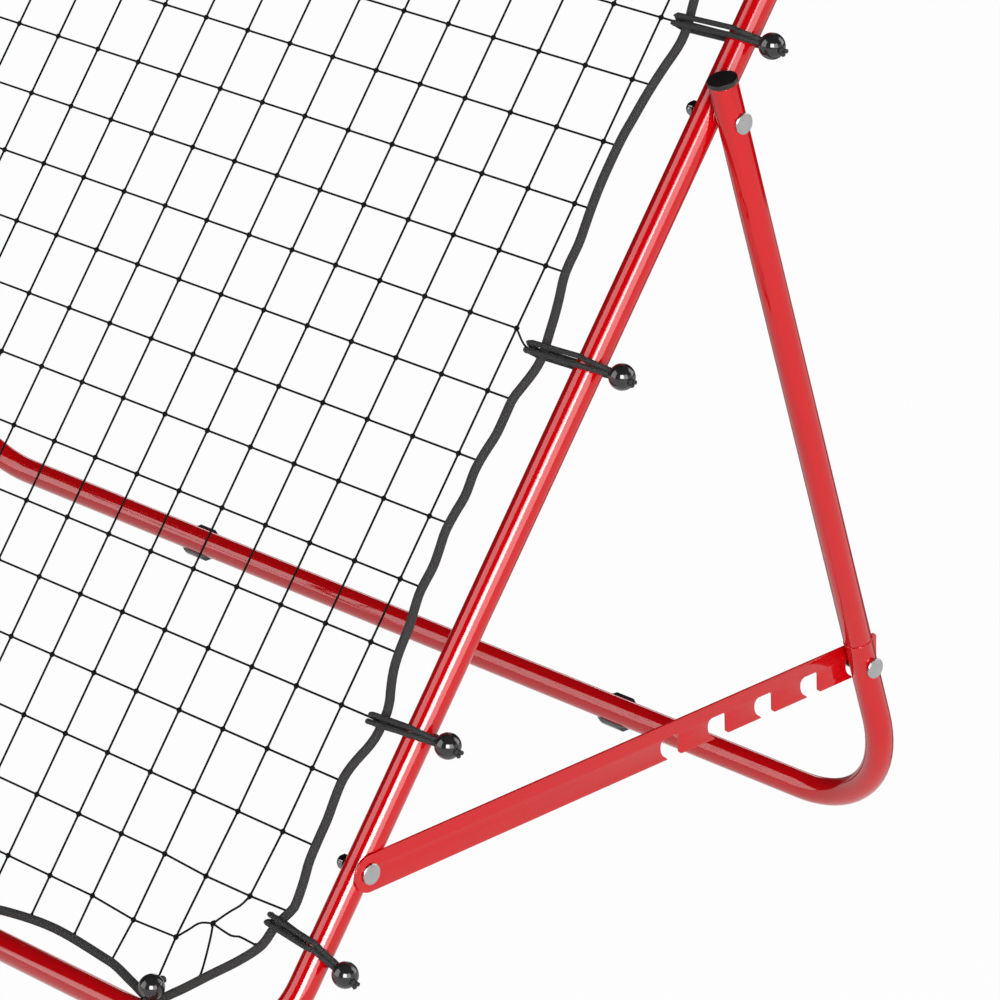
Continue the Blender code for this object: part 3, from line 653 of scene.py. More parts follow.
# %% The outline of one notch
STAY_WIDTH = 0.033
STAY_TAIL = 0.030
STAY_CORNER = 0.004
STAY_ROUNDING = 0.0003
HOLE_STEPS = 32
NOTCH_COUNT = 5
NOTCH_PITCH = 0.0572
NOTCH_WIDTH = 0.0222
NOTCH_TOP = 0.0038
NOTCH_FRONT = 0.0091
FRONT_FILLET = 0.006
REAR_FILLET = 0.004
MOUTH_FILLET = 0.004
HOOK_RADIUS = 0.011
HOOK_CENTRE = -0.004
HOOK_SWEEP = radians(61)
TOE_REACH = 0.0079
TOE_HEIGHT = 0.0007
STUD_RADIUS = 0.003
BOLT_RADIUS = 0.004
LOW_EDGE = -STAY_WIDTH / 2


def notch_top(front, top, rear, fillet):
    """Round the top of a notch, down its rear wall and round to the lower edge."""
    first = (front + FRONT_FILLET, top - FRONT_FILLET)
    second = (rear - fillet, top - fillet)
    mouth = (rear + MOUTH_FILLET, LOW_EDGE + MOUTH_FILLET)
    over = arc(first, FRONT_FILLET, pi, pi / 2) + arc(second, fillet, pi / 2, 0)
    return over + arc(mouth, MOUTH_FILLET, pi, 1.5 * pi)


def hook_wall(front):
    """From the toe in the lower edge up the round front wall."""
    toe = [(front + TOE_REACH, LOW_EDGE), (front + TOE_REACH, LOW_EDGE + TOE_HEIGHT)]
    return toe + arc((front + HOOK_RADIUS, HOOK_CENTRE), HOOK_RADIUS, pi + HOOK_SWEEP, pi)


def hook_notch(front):
    """A closed notch, from its toe up the hook's wall and over."""
    return hook_wall(front) + notch_top(front, NOTCH_TOP, front + NOTCH_WIDTH, REAR_FILLET)


def seat_notch(front):
    """The notch in use: the same hook, round over the stud that hangs in it."""
    seat = STUD_RADIUS + GAP
    return hook_wall(front) + notch_top(front, seat, STAY_REACH + seat, seat)


print("points of a notch:", len(hook_notch(0)))

# %% Cut the stay and mirror it
half_width = STAY_WIDTH / 2
tail = STAY_REACH + STAY_TAIL
last_front = STAY_REACH - NOTCH_FRONT
stay_rim = arc((0, 0), half_width, pi / 2, 1.5 * pi, 3 * ARC_STEPS)
for count in range(NOTCH_COUNT - 1, 0, -1):
    stay_rim += hook_notch(last_front - count * NOTCH_PITCH)
stay_rim += seat_notch(last_front)
stay_rim += arc((tail - STAY_CORNER, STAY_CORNER - half_width), STAY_CORNER, -pi / 2, 0)
stay_rim += arc((tail - STAY_CORNER, half_width - STAY_CORNER), STAY_CORNER, 0, pi / 2)
bolt_hole = arc((0, 0), BOLT_RADIUS + GAP, 0, 2 * pi, HOLE_STEPS)[:-1]

stay = plate([stay_rim, bolt_hole], STAY_THICKNESS)
soften(stay, STAY_ROUNDING, angle=60)
stay_place = in_stay @ Matrix.Translation((stay_bolt.x, 0, 0)) @ PLATE_TURN
fit_pair(stay, "stay_bar", "right_stay", "red_paint", red_paint, "stay", stay_place, left_body="left_stay")
print("stay:", len(stay.data.polygons), "faces")

# %% [markdown]
# ## The clip-on feet
#
# Each foot is a C of black plastic that grips the crossbar from behind and below and is flat where
# it meets the floor. It is a plate too. Its wall thins out towards both lips, its end faces slope
# in from the tube outwards, and the upper lip is shorter. The pair sits a little to the right.

# %% Model one foot and copy it
FOOT_LENGTH = 0.035
FOOT_SPACING = 0.593
FOOT_SHIFT = 0.0155
FOOT_BODY = 0.0055
FOOT_LIP = 0.0033
FRONT_LIP = 0.0024
BODY_FROM, BODY_TO = radians(-98), radians(-40)
FOOT_TOP_ANGLE = radians(42)
FOOT_FRONT_ANGLE = radians(-127)
FOOT_STEPS = 40
FOOT_BORE = TUBE_RADIUS + GAP
OUTER_SHARE = 0.72
UPPER_SHARE = 0.86
OUTSIDE = FOOT_BORE + 0.001
THINS_BY = 1.3
FOOT_ROUNDING = 0.0006


def foot_outside(angle):
    """Outer radius at an angle: the body's, thinning out evenly towards the lips."""
    past_back = max(0.0, angle - BODY_TO) / (FOOT_TOP_ANGLE - BODY_TO)
    past_front = max(0.0, BODY_FROM - angle) / (BODY_FROM - FOOT_FRONT_ANGLE)
    thinned = (FOOT_BODY - FOOT_LIP) * min(1.0, THINS_BY * past_back) + (FOOT_BODY - FRONT_LIP) * past_front
    return FOOT_BORE + FOOT_BODY - thinned


foot_rim = []
for x, y in arc((0, 0), 1, FOOT_FRONT_ANGLE, FOOT_TOP_ANGLE, FOOT_STEPS):
    radius = foot_outside(atan2(y, x))
    foot_rim.append((x * radius, max(y * radius, -FOOT_BORE - FOOT_WALL)))
foot_rim += arc((0, 0), FOOT_BORE, FOOT_TOP_ANGLE, FOOT_FRONT_ANGLE, FOOT_STEPS)
foot = plate([foot_rim], FOOT_LENGTH)

select_verts(foot, lambda spot: hypot(spot.x, spot.y) > OUTSIDE)
stretch((1, 1, OUTER_SHARE))
leave_edit()
select_verts(foot, lambda spot: spot.y > 0)
stretch((1, 1, UPPER_SHARE))
leave_edit()
soften(foot, FOOT_ROUNDING, segments=3, angle=30)
for side, word in ((1, "right"), (-1, "left")):
    place = Matrix.Translation((FOOT_SHIFT + side * FOOT_SPACING / 2, crossbar.y, crossbar.z)) @ PLATE_TURN
    clip = copy_of(foot, f"clip_{word}")
    fit(clip, f"clip_{word}", "rear_stand", "black_plastic", black_plastic, f"foot_{word}", place=place)
bpy.data.objects.remove(foot)
print("foot:", len(clip.data.polygons), "faces")

# %% [markdown]
# ## Bolts, nuts and spacers
#
# Three bolts a side carry the load: one at the pivot, one that the stay swings on, and one through
# the leg, whose bare shank is the stud that the notches hook over. The heads are flat discs with a
# rolled rim. The nuts are closed domes on a six-sided foot, so no thread can catch a player.

# %% One bolt, drawn along Z with its head up
HEAD_RADIUS = 0.0092
HEAD_HEIGHT = 0.0022
HEAD_RIM = 0.0009
RIM_FALL = HEAD_RIM / 3
EDGE_ROUNDING = 0.0006


def flat_bolt(under_head, shank, radius):
    """Disc head, rounded at its rim, and a plain shank. Lengths run from the tube's axis."""
    top = under_head + HEAD_HEIGHT
    bolt = new_disc(HEAD_RADIUS, HEAD_HEIGHT, middle=under_head + HEAD_HEIGHT / 2)
    select_faces(bolt, lambda normal: normal.z > LEVEL)
    bpy.ops.mesh.inset(thickness=HEAD_RIM)
    leave_edit()
    select_verts(bolt, lambda spot: spot.z > top - NEAR and hypot(spot.x, spot.y) > HEAD_RADIUS - NEAR)
    bpy.ops.transform.translate(value=(0, 0, -RIM_FALL))
    leave_edit()
    select_faces(bolt, lambda normal: normal.z < -LEVEL)
    bpy.ops.mesh.inset(thickness=HEAD_RADIUS - radius)
    extrude((0, 0, -under_head - shank))
    leave_edit()
    soften(bolt, EDGE_ROUNDING, segments=3, angle=20)
    return bolt


print("bolts ready")

# %% One dome nut, drawn along Z with its dome up
NUT_RADIUS = 0.0073
NUT_HEIGHT = 0.010
NUT_SIDE = 0.005
NUT_BORE = 0.007
SHANK_END = 0.0005
DOME_RADIUS = 0.0066
DOME_SUNK = 0.0014


def dome_nut():
    """A hexagon with its corners turned off, and a dome that rises out of it."""
    hexagon = new_disc(NUT_RADIUS, NUT_SIDE, sides=6, middle=NUT_SIDE / 2)
    soften(hexagon, EDGE_ROUNDING, segments=3, angle=30)
    dome = new_ball(DOME_RADIUS, sides=32, rings=20)
    dome.scale = (1, 1, (NUT_HEIGHT - NUT_SIDE + DOME_SUNK) / DOME_RADIUS)
    dome.location = (0, 0, NUT_SIDE - DOME_SUNK)
    edit_all(bake_place(dome))
    bpy.ops.mesh.bisect(plane_co=(0, 0, NUT_SIDE / 2), plane_no=(0, 0, 1), use_fill=True, clear_inner=True)
    leave_edit()
    shade(dome)
    return join([hexagon, dome])


print("nuts ready")

# %% Fit the bolts and nuts of the right side, then mirror them
TO_RIGHT = Matrix.Rotation(pi / 2, 4, "Y")
TO_LEFT = Matrix.Rotation(-pi / 2, 4, "Y")
nut_face = TUBE_RADIUS + GAP
rear_face = LEG_X - RAIL_X - STAY_INNER + GAP

# Each bolt: its body, its plane, where its axis is, then from there to its head and to its nut
hardware = [
    ("pivot", "front_frame", in_frame, RAIL_X, PIVOT_UP, LEG_X - RAIL_X + nut_face, nut_face, BOLT_RADIUS),
    ("stay", "front_frame", in_frame, RAIL_X, STAY_BOLT_UP, STAY_OUTER + GAP, nut_face, BOLT_RADIUS),
    ("rear", "rear_stand", in_stand, LEG_X, -REAR_BOLT_DOWN, nut_face, rear_face, STUD_RADIUS),
]
for word, body, plane, x, up, under_head, face, radius in hardware:
    bolt = flat_bolt(under_head, face + NUT_BORE - SHANK_END, radius)
    place = plane @ Matrix.Translation((x, 0, up)) @ TO_RIGHT
    fit_pair(bolt, f"{word}_screw", body, "zinc", zinc, f"{word}_bolt", place)
    place = plane @ Matrix.Translation((x - face, 0, up)) @ TO_LEFT
    fit_pair(dome_nut(), f"{word}_dome", body, "dark_chrome", dark_chrome, f"{word}_nut", place)
print("bolts and nuts:", 4 * len(hardware))

# %% The spacer washers between rail and leg
SPACER_RADIUS = 0.0078
SPACER_ROUNDING = 0.0003

spacer = new_disc(SPACER_RADIUS, STAY_THICKNESS)
select_faces(spacer, lambda normal: abs(normal.z) > LEVEL)
bpy.ops.mesh.inset(thickness=SPACER_RADIUS - BOLT_RADIUS - GAP)
bpy.ops.mesh.bridge_edge_loops()
leave_edit()
soften(spacer, SPACER_ROUNDING)
spacer_place = in_frame @ Matrix.Translation((stay_bolt.x, 0, PIVOT_UP)) @ TO_RIGHT
fit_pair(spacer, "washer", "front_frame", "red_paint", red_paint, "pivot_spacer", spacer_place)
print("washer:", len(spacer.data.polygons), "faces")

# %% [markdown]
# ## The edge rope
#
# An 8 mm rope runs round the net. The elastic ties pull it out towards the tube, and between them
# the net draws it back in, so its line is scalloped. It is one closed curve with a round bevel,
# its points read evenly off a smooth line through the chosen ones, so the braid has the same
# pitch all the way.

# %% A smooth line through chosen points
CURVE_STEPS = 12
CORD_SMOOTH = 60
TINY = 1e-9


def curve_point(a, b, c, d, t):
    """A place between b and c on the Catmull-Rom curve through four points."""
    return 0.5 * (2 * b + (c - a) * t + (2 * a - 5 * b + 4 * c - d) * t**2 + (3 * b - a - 3 * c + d) * t**3)


def smooth_line(points, spacing, closed):
    """Even points on a smooth curve through the given ones, and its length."""
    count = len(points)
    dense = []
    for index in range(count if closed else count - 1):
        steps = [index + step for step in (-1, 0, 1, 2)]
        four = [points[step % count if closed else max(0, min(count - 1, step))] for step in steps]
        dense += [curve_point(*four, step / CURVE_STEPS) for step in range(CURVE_STEPS)]
    dense.append(points[0].copy() if closed else points[-1].copy())
    lengths = [0.0]
    for first, second in zip(dense, dense[1:]):
        lengths.append(lengths[-1] + (second - first).length)
    pieces = max(3, round(lengths[-1] / spacing))
    even = []
    index = 0
    for step in range(pieces if closed else pieces + 1):
        target = lengths[-1] * step / pieces
        while lengths[index + 1] < target and index < len(lengths) - 2:
            index += 1
        share = (target - lengths[index]) / max(lengths[index + 1] - lengths[index], TINY)
        even.append(dense[index].lerp(dense[index + 1], share))
    return even, lengths[-1]


def round_cord(lines, radius, bevel, closed):
    """A mesh tube along each line, with the curve's own UV map."""
    made = curve_mesh(lines, closed, dimensions="3D", bevel_depth=radius, bevel_resolution=bevel,
                      use_fill_caps=not closed)
    shade(made, CORD_SMOOTH)
    return made


print("cords ready")

# %% Where the ties hold the rope, and where it goes between them
ROPE_RADIUS = 0.004
ROPE_SPACING = 0.006
# Up the right side: height, and the rope's distance in from the rail
SIDE_ROPE = [
    (0.0949, 0.0609), (0.1142, 0.0560), (0.1323, 0.0464), (0.1430, 0.0465), (0.1584, 0.0489),
    (0.1735, 0.0523), (0.1948, 0.0534), (0.2109, 0.0538), (0.2265, 0.0557), (0.2424, 0.0570),
    (0.2537, 0.0556), (0.2658, 0.0516), (0.2784, 0.0461), (0.2902, 0.0431), (0.3025, 0.0432),
    (0.3117, 0.0438), (0.3216, 0.0469), (0.3310, 0.0515), (0.3456, 0.0570), (0.3611, 0.0599),
    (0.3823, 0.0615), (0.3978, 0.0645), (0.4135, 0.0669), (0.4358, 0.0655), (0.4516, 0.0674),
    (0.4673, 0.0698), (0.4841, 0.0686), (0.5011, 0.0664), (0.5224, 0.0686), (0.5394, 0.0669),
    (0.5567, 0.0637), (0.5732, 0.0636), (0.5896, 0.0636), (0.6017, 0.0599), (0.6138, 0.0559),
    (0.6254, 0.0536), (0.6355, 0.0543), (0.6518, 0.0574), (0.6675, 0.0604), (0.6830, 0.0643),
    (0.6984, 0.0688), (0.7114, 0.0702), (0.7312, 0.0700), (0.7526, 0.0728), (0.7687, 0.0747),
    (0.7904, 0.0762), (0.8237, 0.0761), (0.8465, 0.0737), (0.8692, 0.0710), (0.8925, 0.0667),
    (0.9101, 0.0625), (0.9216, 0.0611), (0.9355, 0.0625), (0.9536, 0.0669), (0.9760, 0.0710),
    (1.0400, 0.0750), (1.1100, 0.0700), (1.1520, 0.0630), (1.1834, 0.0585),
]
# Along the bottom, from the middle to the right: place across, and height above the tube's axis
BOTTOM_ROPE = [
    (0.0, 0.017), (0.040, 0.026), (0.123, 0.032), (0.206, 0.026), (0.250, 0.017), (0.294, 0.027),
    (0.360, 0.033), (0.4311, 0.0288), (0.4482, 0.0265), (0.4713, 0.0208), (0.4994, 0.0155),
    (0.5204, 0.0297), (0.5472, 0.0544), (0.5708, 0.0762),
]
# Along the top, from the right to the middle
TOP_ROPE = [
    (0.5650, 1.2160), (0.5350, 1.2290), (0.500, 1.2360), (0.436, 1.2240), (0.375, 1.2200), (0.306, 1.2240),
    (0.250, 1.2360), (0.194, 1.2240), (0.125, 1.2200), (0.060, 1.2240), (0.0, 1.2360),
]
right_side = BOTTOM_ROPE + [(RAIL_X - inset, up) for up, inset in SIDE_ROPE] + TOP_ROPE
left_side = [(-x, up) for x, up in reversed(right_side[1:-1])]
rope_spots = [Vector((x, 0, up)) for x, up in right_side + left_side]
rope_line, rope_length = smooth_line(rope_spots, ROPE_SPACING, True)
print("edge rope:", round(rope_length, 3), "m round, in", len(rope_line), "points")

# %% Lay the rope
BRAID_PITCH = 0.011
rope_finish = cord_finish(
    "braided_rope",
    # First tone: painted shade in the gaps between strands; second: the lit strand tops
    tones=((0.038, 0.038, 0.038), (0.050, 0.050, 0.050)),
    turns=round(rope_length / BRAID_PITCH) * 2,
    strands=8,
    crossing=1.0,
    bump=0.03,
    constants={"Roughness": 0.75, "Specular IOR Level": 0.15},
)
rope = round_cord([rope_line], ROPE_RADIUS, bevel=6, closed=True)
fit(rope, "braided_edge_rope", "front_frame", "rope", rope_finish, "edge_rope", place=in_frame)
print("rope:", len(rope.data.polygons), "faces")

# %% [markdown]
# ## The net
#
# The net is knotted from thin black twine in squares of about 57 mm. Each line of twine is one
# round cord from rope to rope. Where two lines cross they are tied, and where a line meets the
# rope it is threaded through it and knotted off. Near the lower corner the mesh is slack, and its
# twine wanders.

# %% The net's lines and crossings
COLUMN_PITCH = 0.05613
ROW_PITCH = 0.05751
FIRST_COLUMN = 0.5535
FIRST_ROW = 0.0715
COLUMNS = 20
ROWS = 20
TWINE_RADIUS = 0.00095

columns = [FIRST_COLUMN - COLUMN_PITCH * index for index in range(COLUMNS)]
rows = [FIRST_ROW + ROW_PITCH * index for index in range(ROWS)]


def rope_crossings(start, end):
    """Where a straight line in the net's plane crosses the rope's centre line."""
    found = []
    for first, second in zip(rope_line, rope_line[1:] + rope_line[:1]):
        meet = intersect_line_line_2d(start, end, (first.x, first.z), (second.x, second.z))
        if meet:
            found.append(Vector((meet.x, 0, meet.y)))
    return found


# Knots of the slack lower corner: column and row, and where the knot lies
SLACK_KNOTS = {
    (0, 1): (0.5506, 0.1271),
    (1, 1): (0.4955, 0.1267),
    (0, 0): (0.5257, 0.0937),
    (1, 0): (0.4938, 0.0705),
    (2, 0): (0.4408, 0.0682),
}
knots = {}
for across_index, x in enumerate(columns):
    for up_index, up in enumerate(rows):
        spot = SLACK_KNOTS.get((across_index, up_index), (x, up))
        knots[across_index, up_index] = Vector((spot[0], 0, spot[1]))
print("knots:", len(knots))

# %% Twine from rope to rope
# Places that a slack stretch passes, keyed by its two knots
SLACK_RUNS = {
    ((1, 0), (0, 0)): [(0.5029, 0.0800), (0.5120, 0.0895)],
    ((0, 0), (0, 1)): [(0.5318, 0.1017), (0.5382, 0.1093), (0.5457, 0.1173)],
}
# Lower ends of columns and right ends of rows, from the rope to the first knot
COLUMN_FEET = {
    0: [(0.5372, 0.0454), (0.5366, 0.0564), (0.5305, 0.0804)],
    1: [(0.4962, 0.0160), (0.4950, 0.0354)],
    2: [(0.4374, 0.0275)],
}
ROW_ENDS = {
    0: [(0.5830, 0.0925), (0.5599, 0.0932), (0.5512, 0.0911), (0.5381, 0.0920)],
    10: [(0.5880, 0.6330), (0.5705, 0.6350)],
}
SLACK_SPACING = 0.004
BELOW_ROPE = -0.1


def in_plane(places):
    return [Vector((x, 0, up)) for x, up in places]


def stretch_of_twine(spots):
    """Straight between two spots, and curved through more."""
    return spots if len(spots) == 2 else smooth_line(spots, SLACK_SPACING, False)[0]


def line_of_twine(keys, first_end, last_end):
    """One line: from the rope, through its knots, to the rope again."""
    path = stretch_of_twine(first_end + [knots[keys[0]]])
    for first, second in zip(keys, keys[1:]):
        passed = in_plane(SLACK_RUNS.get((first, second), []))
        path += stretch_of_twine([knots[first]] + passed + [knots[second]])[1:]
    return path + stretch_of_twine([knots[keys[-1]]] + last_end)[1:]


twine_lines = []
for across_index, x in enumerate(columns):
    ends = rope_crossings((x, BELOW_ROPE), (x, FRAME_HEIGHT))
    foot_end = in_plane(COLUMN_FEET.get(across_index, [])) or [ends[0]]
    keys = [(across_index, up_index) for up_index in range(ROWS)]
    twine_lines.append(line_of_twine(keys, foot_end, [ends[-1]]))
for up_index, up in enumerate(rows):
    ends = sorted(rope_crossings((-RAIL_X, up), (RAIL_X, up)), key=lambda end: end.x)
    right_end = in_plane(reversed(ROW_ENDS.get(up_index, []))) or [ends[-1]]
    keys = [(across_index, up_index) for across_index in reversed(range(COLUMNS))]
    twine_lines.append(line_of_twine(keys, [ends[0]], right_end))
print("lines of twine:", len(twine_lines))

# %% The knots, modelled once and copied
KNOT_RADIUS = 0.0026
KNOT_FLATNESS = 0.8
PULLED_PAST = 0.9
KNOT_PULL = 1.35
KNOT_TWIST = radians(9)
END_KNOT = 0.6


def knot_shape():
    """A small bead, flat, pulled out where the four lines leave it."""
    bead = new_ball(KNOT_RADIUS, sides=8, rings=6)
    bead.rotation_euler = (pi / 2, 0, 0)
    bead.scale = (1, 1, KNOT_FLATNESS)
    bake_place(bead)
    select_verts(bead, lambda spot: max(abs(spot.x), abs(spot.z)) > KNOT_RADIUS * PULLED_PAST)
    stretch((KNOT_PULL, 1, KNOT_PULL))
    leave_edit()
    bpy.ops.object.shade_smooth()
    return bead


bead = knot_shape()
knot_pieces = []
for (across_index, up_index), spot in knots.items():
    piece = copy_of(bead, "knot")
    piece.location = spot
    # No two neighbours lie at the same turn
    piece.rotation_euler = (0, KNOT_TWIST * sin(3 * across_index + 5 * up_index), 0)
    knot_pieces.append(piece)
for line in twine_lines:
    for end, beside in ((line[0], line[1]), (line[-1], line[-2])):
        piece = copy_of(bead, "end_knot")
        piece.location = end + (beside - end).normalized() * ROPE_RADIUS
        piece.scale = (END_KNOT, END_KNOT, END_KNOT)
        knot_pieces.append(piece)
bpy.data.objects.remove(bead)
print("knots copied:", len(knot_pieces))

# %% Twine and knots become one net
twine_finish = cord_finish(
    "black_twine",
    tones=((0.003, 0.003, 0.003), (0.005, 0.005, 0.005)),
    # First tone: painted shade in the gaps between strands; second: the lit strand tops
    turns=700,
    strands=3,
    crossing=0.0,
    bump=0.08,
    constants={"Roughness": 0.85, "Specular IOR Level": 0.1},
)
net = join([round_cord(twine_lines, TWINE_RADIUS, bevel=2, closed=False)] + knot_pieces)
fit(net, "knotted_net", "front_frame", "twine", twine_finish, "net", place=in_frame)
print("net:", len(net.data.polygons), "faces")

# %% [markdown]
# ## The ball ties
#
# A tie is a doubled elastic with a ball at its end. It goes round the tube and round the rope, and
# the ball keeps it from slipping back through its own loop. Seen along the tube, each loop is a
# belt round circles, so its line is worked out from tangents and arcs. The two strands leave the
# ball together, spread over the tube and close up again past the rope. Each of the four ties that
# the photograph shows has its own small bends, and the left side repeats them.

# %% A belt round circles
STRAND_RADIUS = 0.0024
TUBE_WRAP = TUBE_RADIUS + GAP + STRAND_RADIUS
ROPE_WRAP = ROPE_RADIUS + GAP + STRAND_RADIUS
BALL_RADIUS = 0.0113
LOW_BALL = (-0.025, -0.0133)
BELT_STEP = radians(12)
ROUND_TUBE = ((0.0, 0.0), TUBE_WRAP)


def belt(circles):
    """Closed line, counter-clockwise, tight round circles given as (centre, radius)."""
    touches = []
    for (first, radius_a), (second, radius_b) in zip(circles, circles[1:] + circles[:1]):
        along = (second[0] - first[0], second[1] - first[1])
        touches.append(atan2(along[1], along[0]) - acos((radius_a - radius_b) / hypot(*along)))
    points = []
    for index, (centre, radius) in enumerate(circles):
        arrive = touches[index - 1]
        sweep = (touches[index] - arrive) % (2 * pi)
        steps = max(1, round(sweep / BELT_STEP))
        points += arc(centre, radius, arrive, arrive + sweep, steps) if radius else [centre]
    return points


print("points of a belt:", len(belt([(LOW_BALL, 0.0), ROUND_TUBE])))

# %% Two strands, a ball and its knotted tail
BACK_SPREAD = 0.75
LIFT_FADE = 0.022
LOOP_SPACING = 0.004
# The tail: how far its knot is sunk in the ball, the turn of elastic round it, and its fork
TAIL_RADIUS = 0.0019
TAIL_SUNK = 0.0006
TURN_RADIUS = 0.0018
TURN_OUT = 0.0016
TURN_ANGLES = (0, 1.2, 2.4, 3.6, 4.8, 6.0)
FORK_OUT = 0.0024
# Each cut end: how far aside at the fork and at its tip, and how far out its tip is
CUT_ENDS = ((0.0010, 0.0018, 0.0042), (-0.0012, -0.0022, 0.0036))
POLE_ANGLE = radians(14)
POLE_FLATNESS = 0.94


def between(stations, distance):
    """Shift, spread and bow of the strands at a distance from the ball, read between stations."""
    for (near, *first), (far, *second) in zip(stations, stations[1:]):
        if distance <= far:
            share = max(0.0, (distance - near) / (far - near))
            return [a + (b - a) * share for a, b in zip(first, second)]
    return stations[-1][1:]


def loop_lines(circles, ball, stations, lift, facing):
    """The two strands of a tie, in its own frame: outwards, back and along the tube."""
    lines = []
    for way in (1, -1):
        path = []
        for x, y in belt(circles):
            shift, spread, bow = between(stations, hypot(x - ball[0], y - ball[1]))
            if y > 0:
                behind = y / TUBE_WRAP * min(1.0, max(0.0, 1 + x / LIFT_FADE))
                along = shift + way * spread * BACK_SPREAD - bow + lift * behind
            else:
                along = shift + way * spread + (bow if way * bow > 0 else 0.0)
            path.append(Vector((x, y, facing * along)))
        lines.append(smooth_line(path, LOOP_SPACING, True)[0])
    return lines


def tail_lines(ball, heading, reach):
    """A lumpy knot behind the ball and the two short cut ends of the elastic."""
    out = Vector(heading).normalized()
    side = out.cross((0, 1, 0)).normalized()
    up = out.cross(side)
    base = ball + out * (BALL_RADIUS - TAIL_SUNK)
    middle = base + out * TURN_OUT
    lines = [[middle + (side * cos(angle) + up * sin(angle)) * TURN_RADIUS for angle in TURN_ANGLES]]
    for at_fork, at_tip, tip_out in CUT_ENDS:
        fork = base + out * FORK_OUT + side * at_fork
        lines.append([base, fork, base + out * tip_out * reach + side * at_tip])
    return lines


def ball_shape(ball, heading):
    """A polished ball, a little flat at its two poles, which lie along its tail."""
    made = new_ball(BALL_RADIUS, sides=48, rings=32)
    rim = BALL_RADIUS * cos(POLE_ANGLE)
    select_verts(made, lambda spot: abs(spot.z) > rim)
    stretch((1, 1, POLE_FLATNESS))
    leave_edit()
    made.rotation_euler = Vector(heading).to_track_quat("Z", "Y").to_euler()
    made.location = ball
    shade(bake_place(made))
    return made


elastic_finish = cord_finish(
    "woven_elastic",
    # First tone: painted shade in the gaps between strands; second: the lit strand tops
    tones=((0.022, 0.022, 0.022), (0.034, 0.034, 0.034)),
    turns=110,
    strands=6,
    crossing=1.0,
    bump=0.06,
    constants={"Roughness": 0.70, "Specular IOR Level": 0.25},
)
print("tie parts ready")

# %% Where the ties sit, counter-clockwise from the lowest on the right
# Ties of a side: height on the tube, and the rope's distance in
SIDE_TIES = ((0.1122, 0.0550), (0.3025, 0.0432), (0.6355, 0.0543), (0.9355, 0.0625), (1.1834, 0.0585))
CROSS_TIES = (-0.500, -0.250, 0.0, 0.250, 0.500)
TOP_DEPTH = 0.054
BOTTOM_DEPTH = 0.017
CORNER_SLANT = radians(7.6)


def tie_places():
    """Spot on the tube's axis, the way in to the rope, the rope's distance, and whether it is low."""
    spots = []
    for up, depth in SIDE_TIES:
        slant = -CORNER_SLANT if up == SIDE_TIES[-1][0] else 0.0
        spots.append((Vector((RAIL_X, up)), Vector((-cos(slant), sin(slant))), depth, False))
    for x in reversed(CROSS_TIES):
        spots.append((Vector((x, FRAME_HEIGHT)), Vector((0, -1)), TOP_DEPTH, False))
    for spot, inward, depth, low in reversed(spots[: len(SIDE_TIES)]):
        spots.append((Vector((-spot.x, spot.y)), Vector((-inward.x, inward.y)), depth, low))
    for x in CROSS_TIES:
        spots.append((Vector((x, 0)), Vector((0, 1)), BOTTOM_DEPTH, True))
    return spots


# A tie's own bends: the ball's distance out and its shift along the tube, the strands' spread on
# the tube and halfway to the rope, the bow of the outer front strand there, upwards or downwards,
# the loop's end, how far shifted and how far past the rope, the lift of what runs behind the tube,
# and the tail's droop and reach
PLAIN_TIE = (0.0348, 0.0, 0.0032, 0.0036, 0.0015, 0.0, 0.005, 0.003, 0.0, 1.3)
TIE_BENDS = {
    1: (0.0365, -0.0105, 0.0027, 0.0040, -0.0040, 0.0054, 0.0024, -0.006, 0.25, 1.6),
    2: (0.0332, 0.0021, 0.0026, 0.0038, 0.0006, -0.0020, 0.0068, 0.004, 0.15, 1.6),
    3: (0.0364, 0.0017, 0.0030, 0.0042, 0.0048, -0.0010, 0.0105, 0.003, 0.15, 1.3),
    4: (0.0333, 0.0014, 0.0026, 0.0034, 0.0050, -0.0008, 0.0057, 0.004, 0.15, 1.6),
}
# Spread of the strands at the ball and at the loop's end, and of the low ties' at ball and tube
AT_BALL = 0.0013
AT_END = 0.0031
LOW_AT_BALL = 0.0016
LOW_ON_TUBE = 0.0027
LOW_BALL_SHIFT = 0.0055
LOW_HEADING = (-0.75, 0.66, 0.0)
print("places of ties:", len(tie_places()))

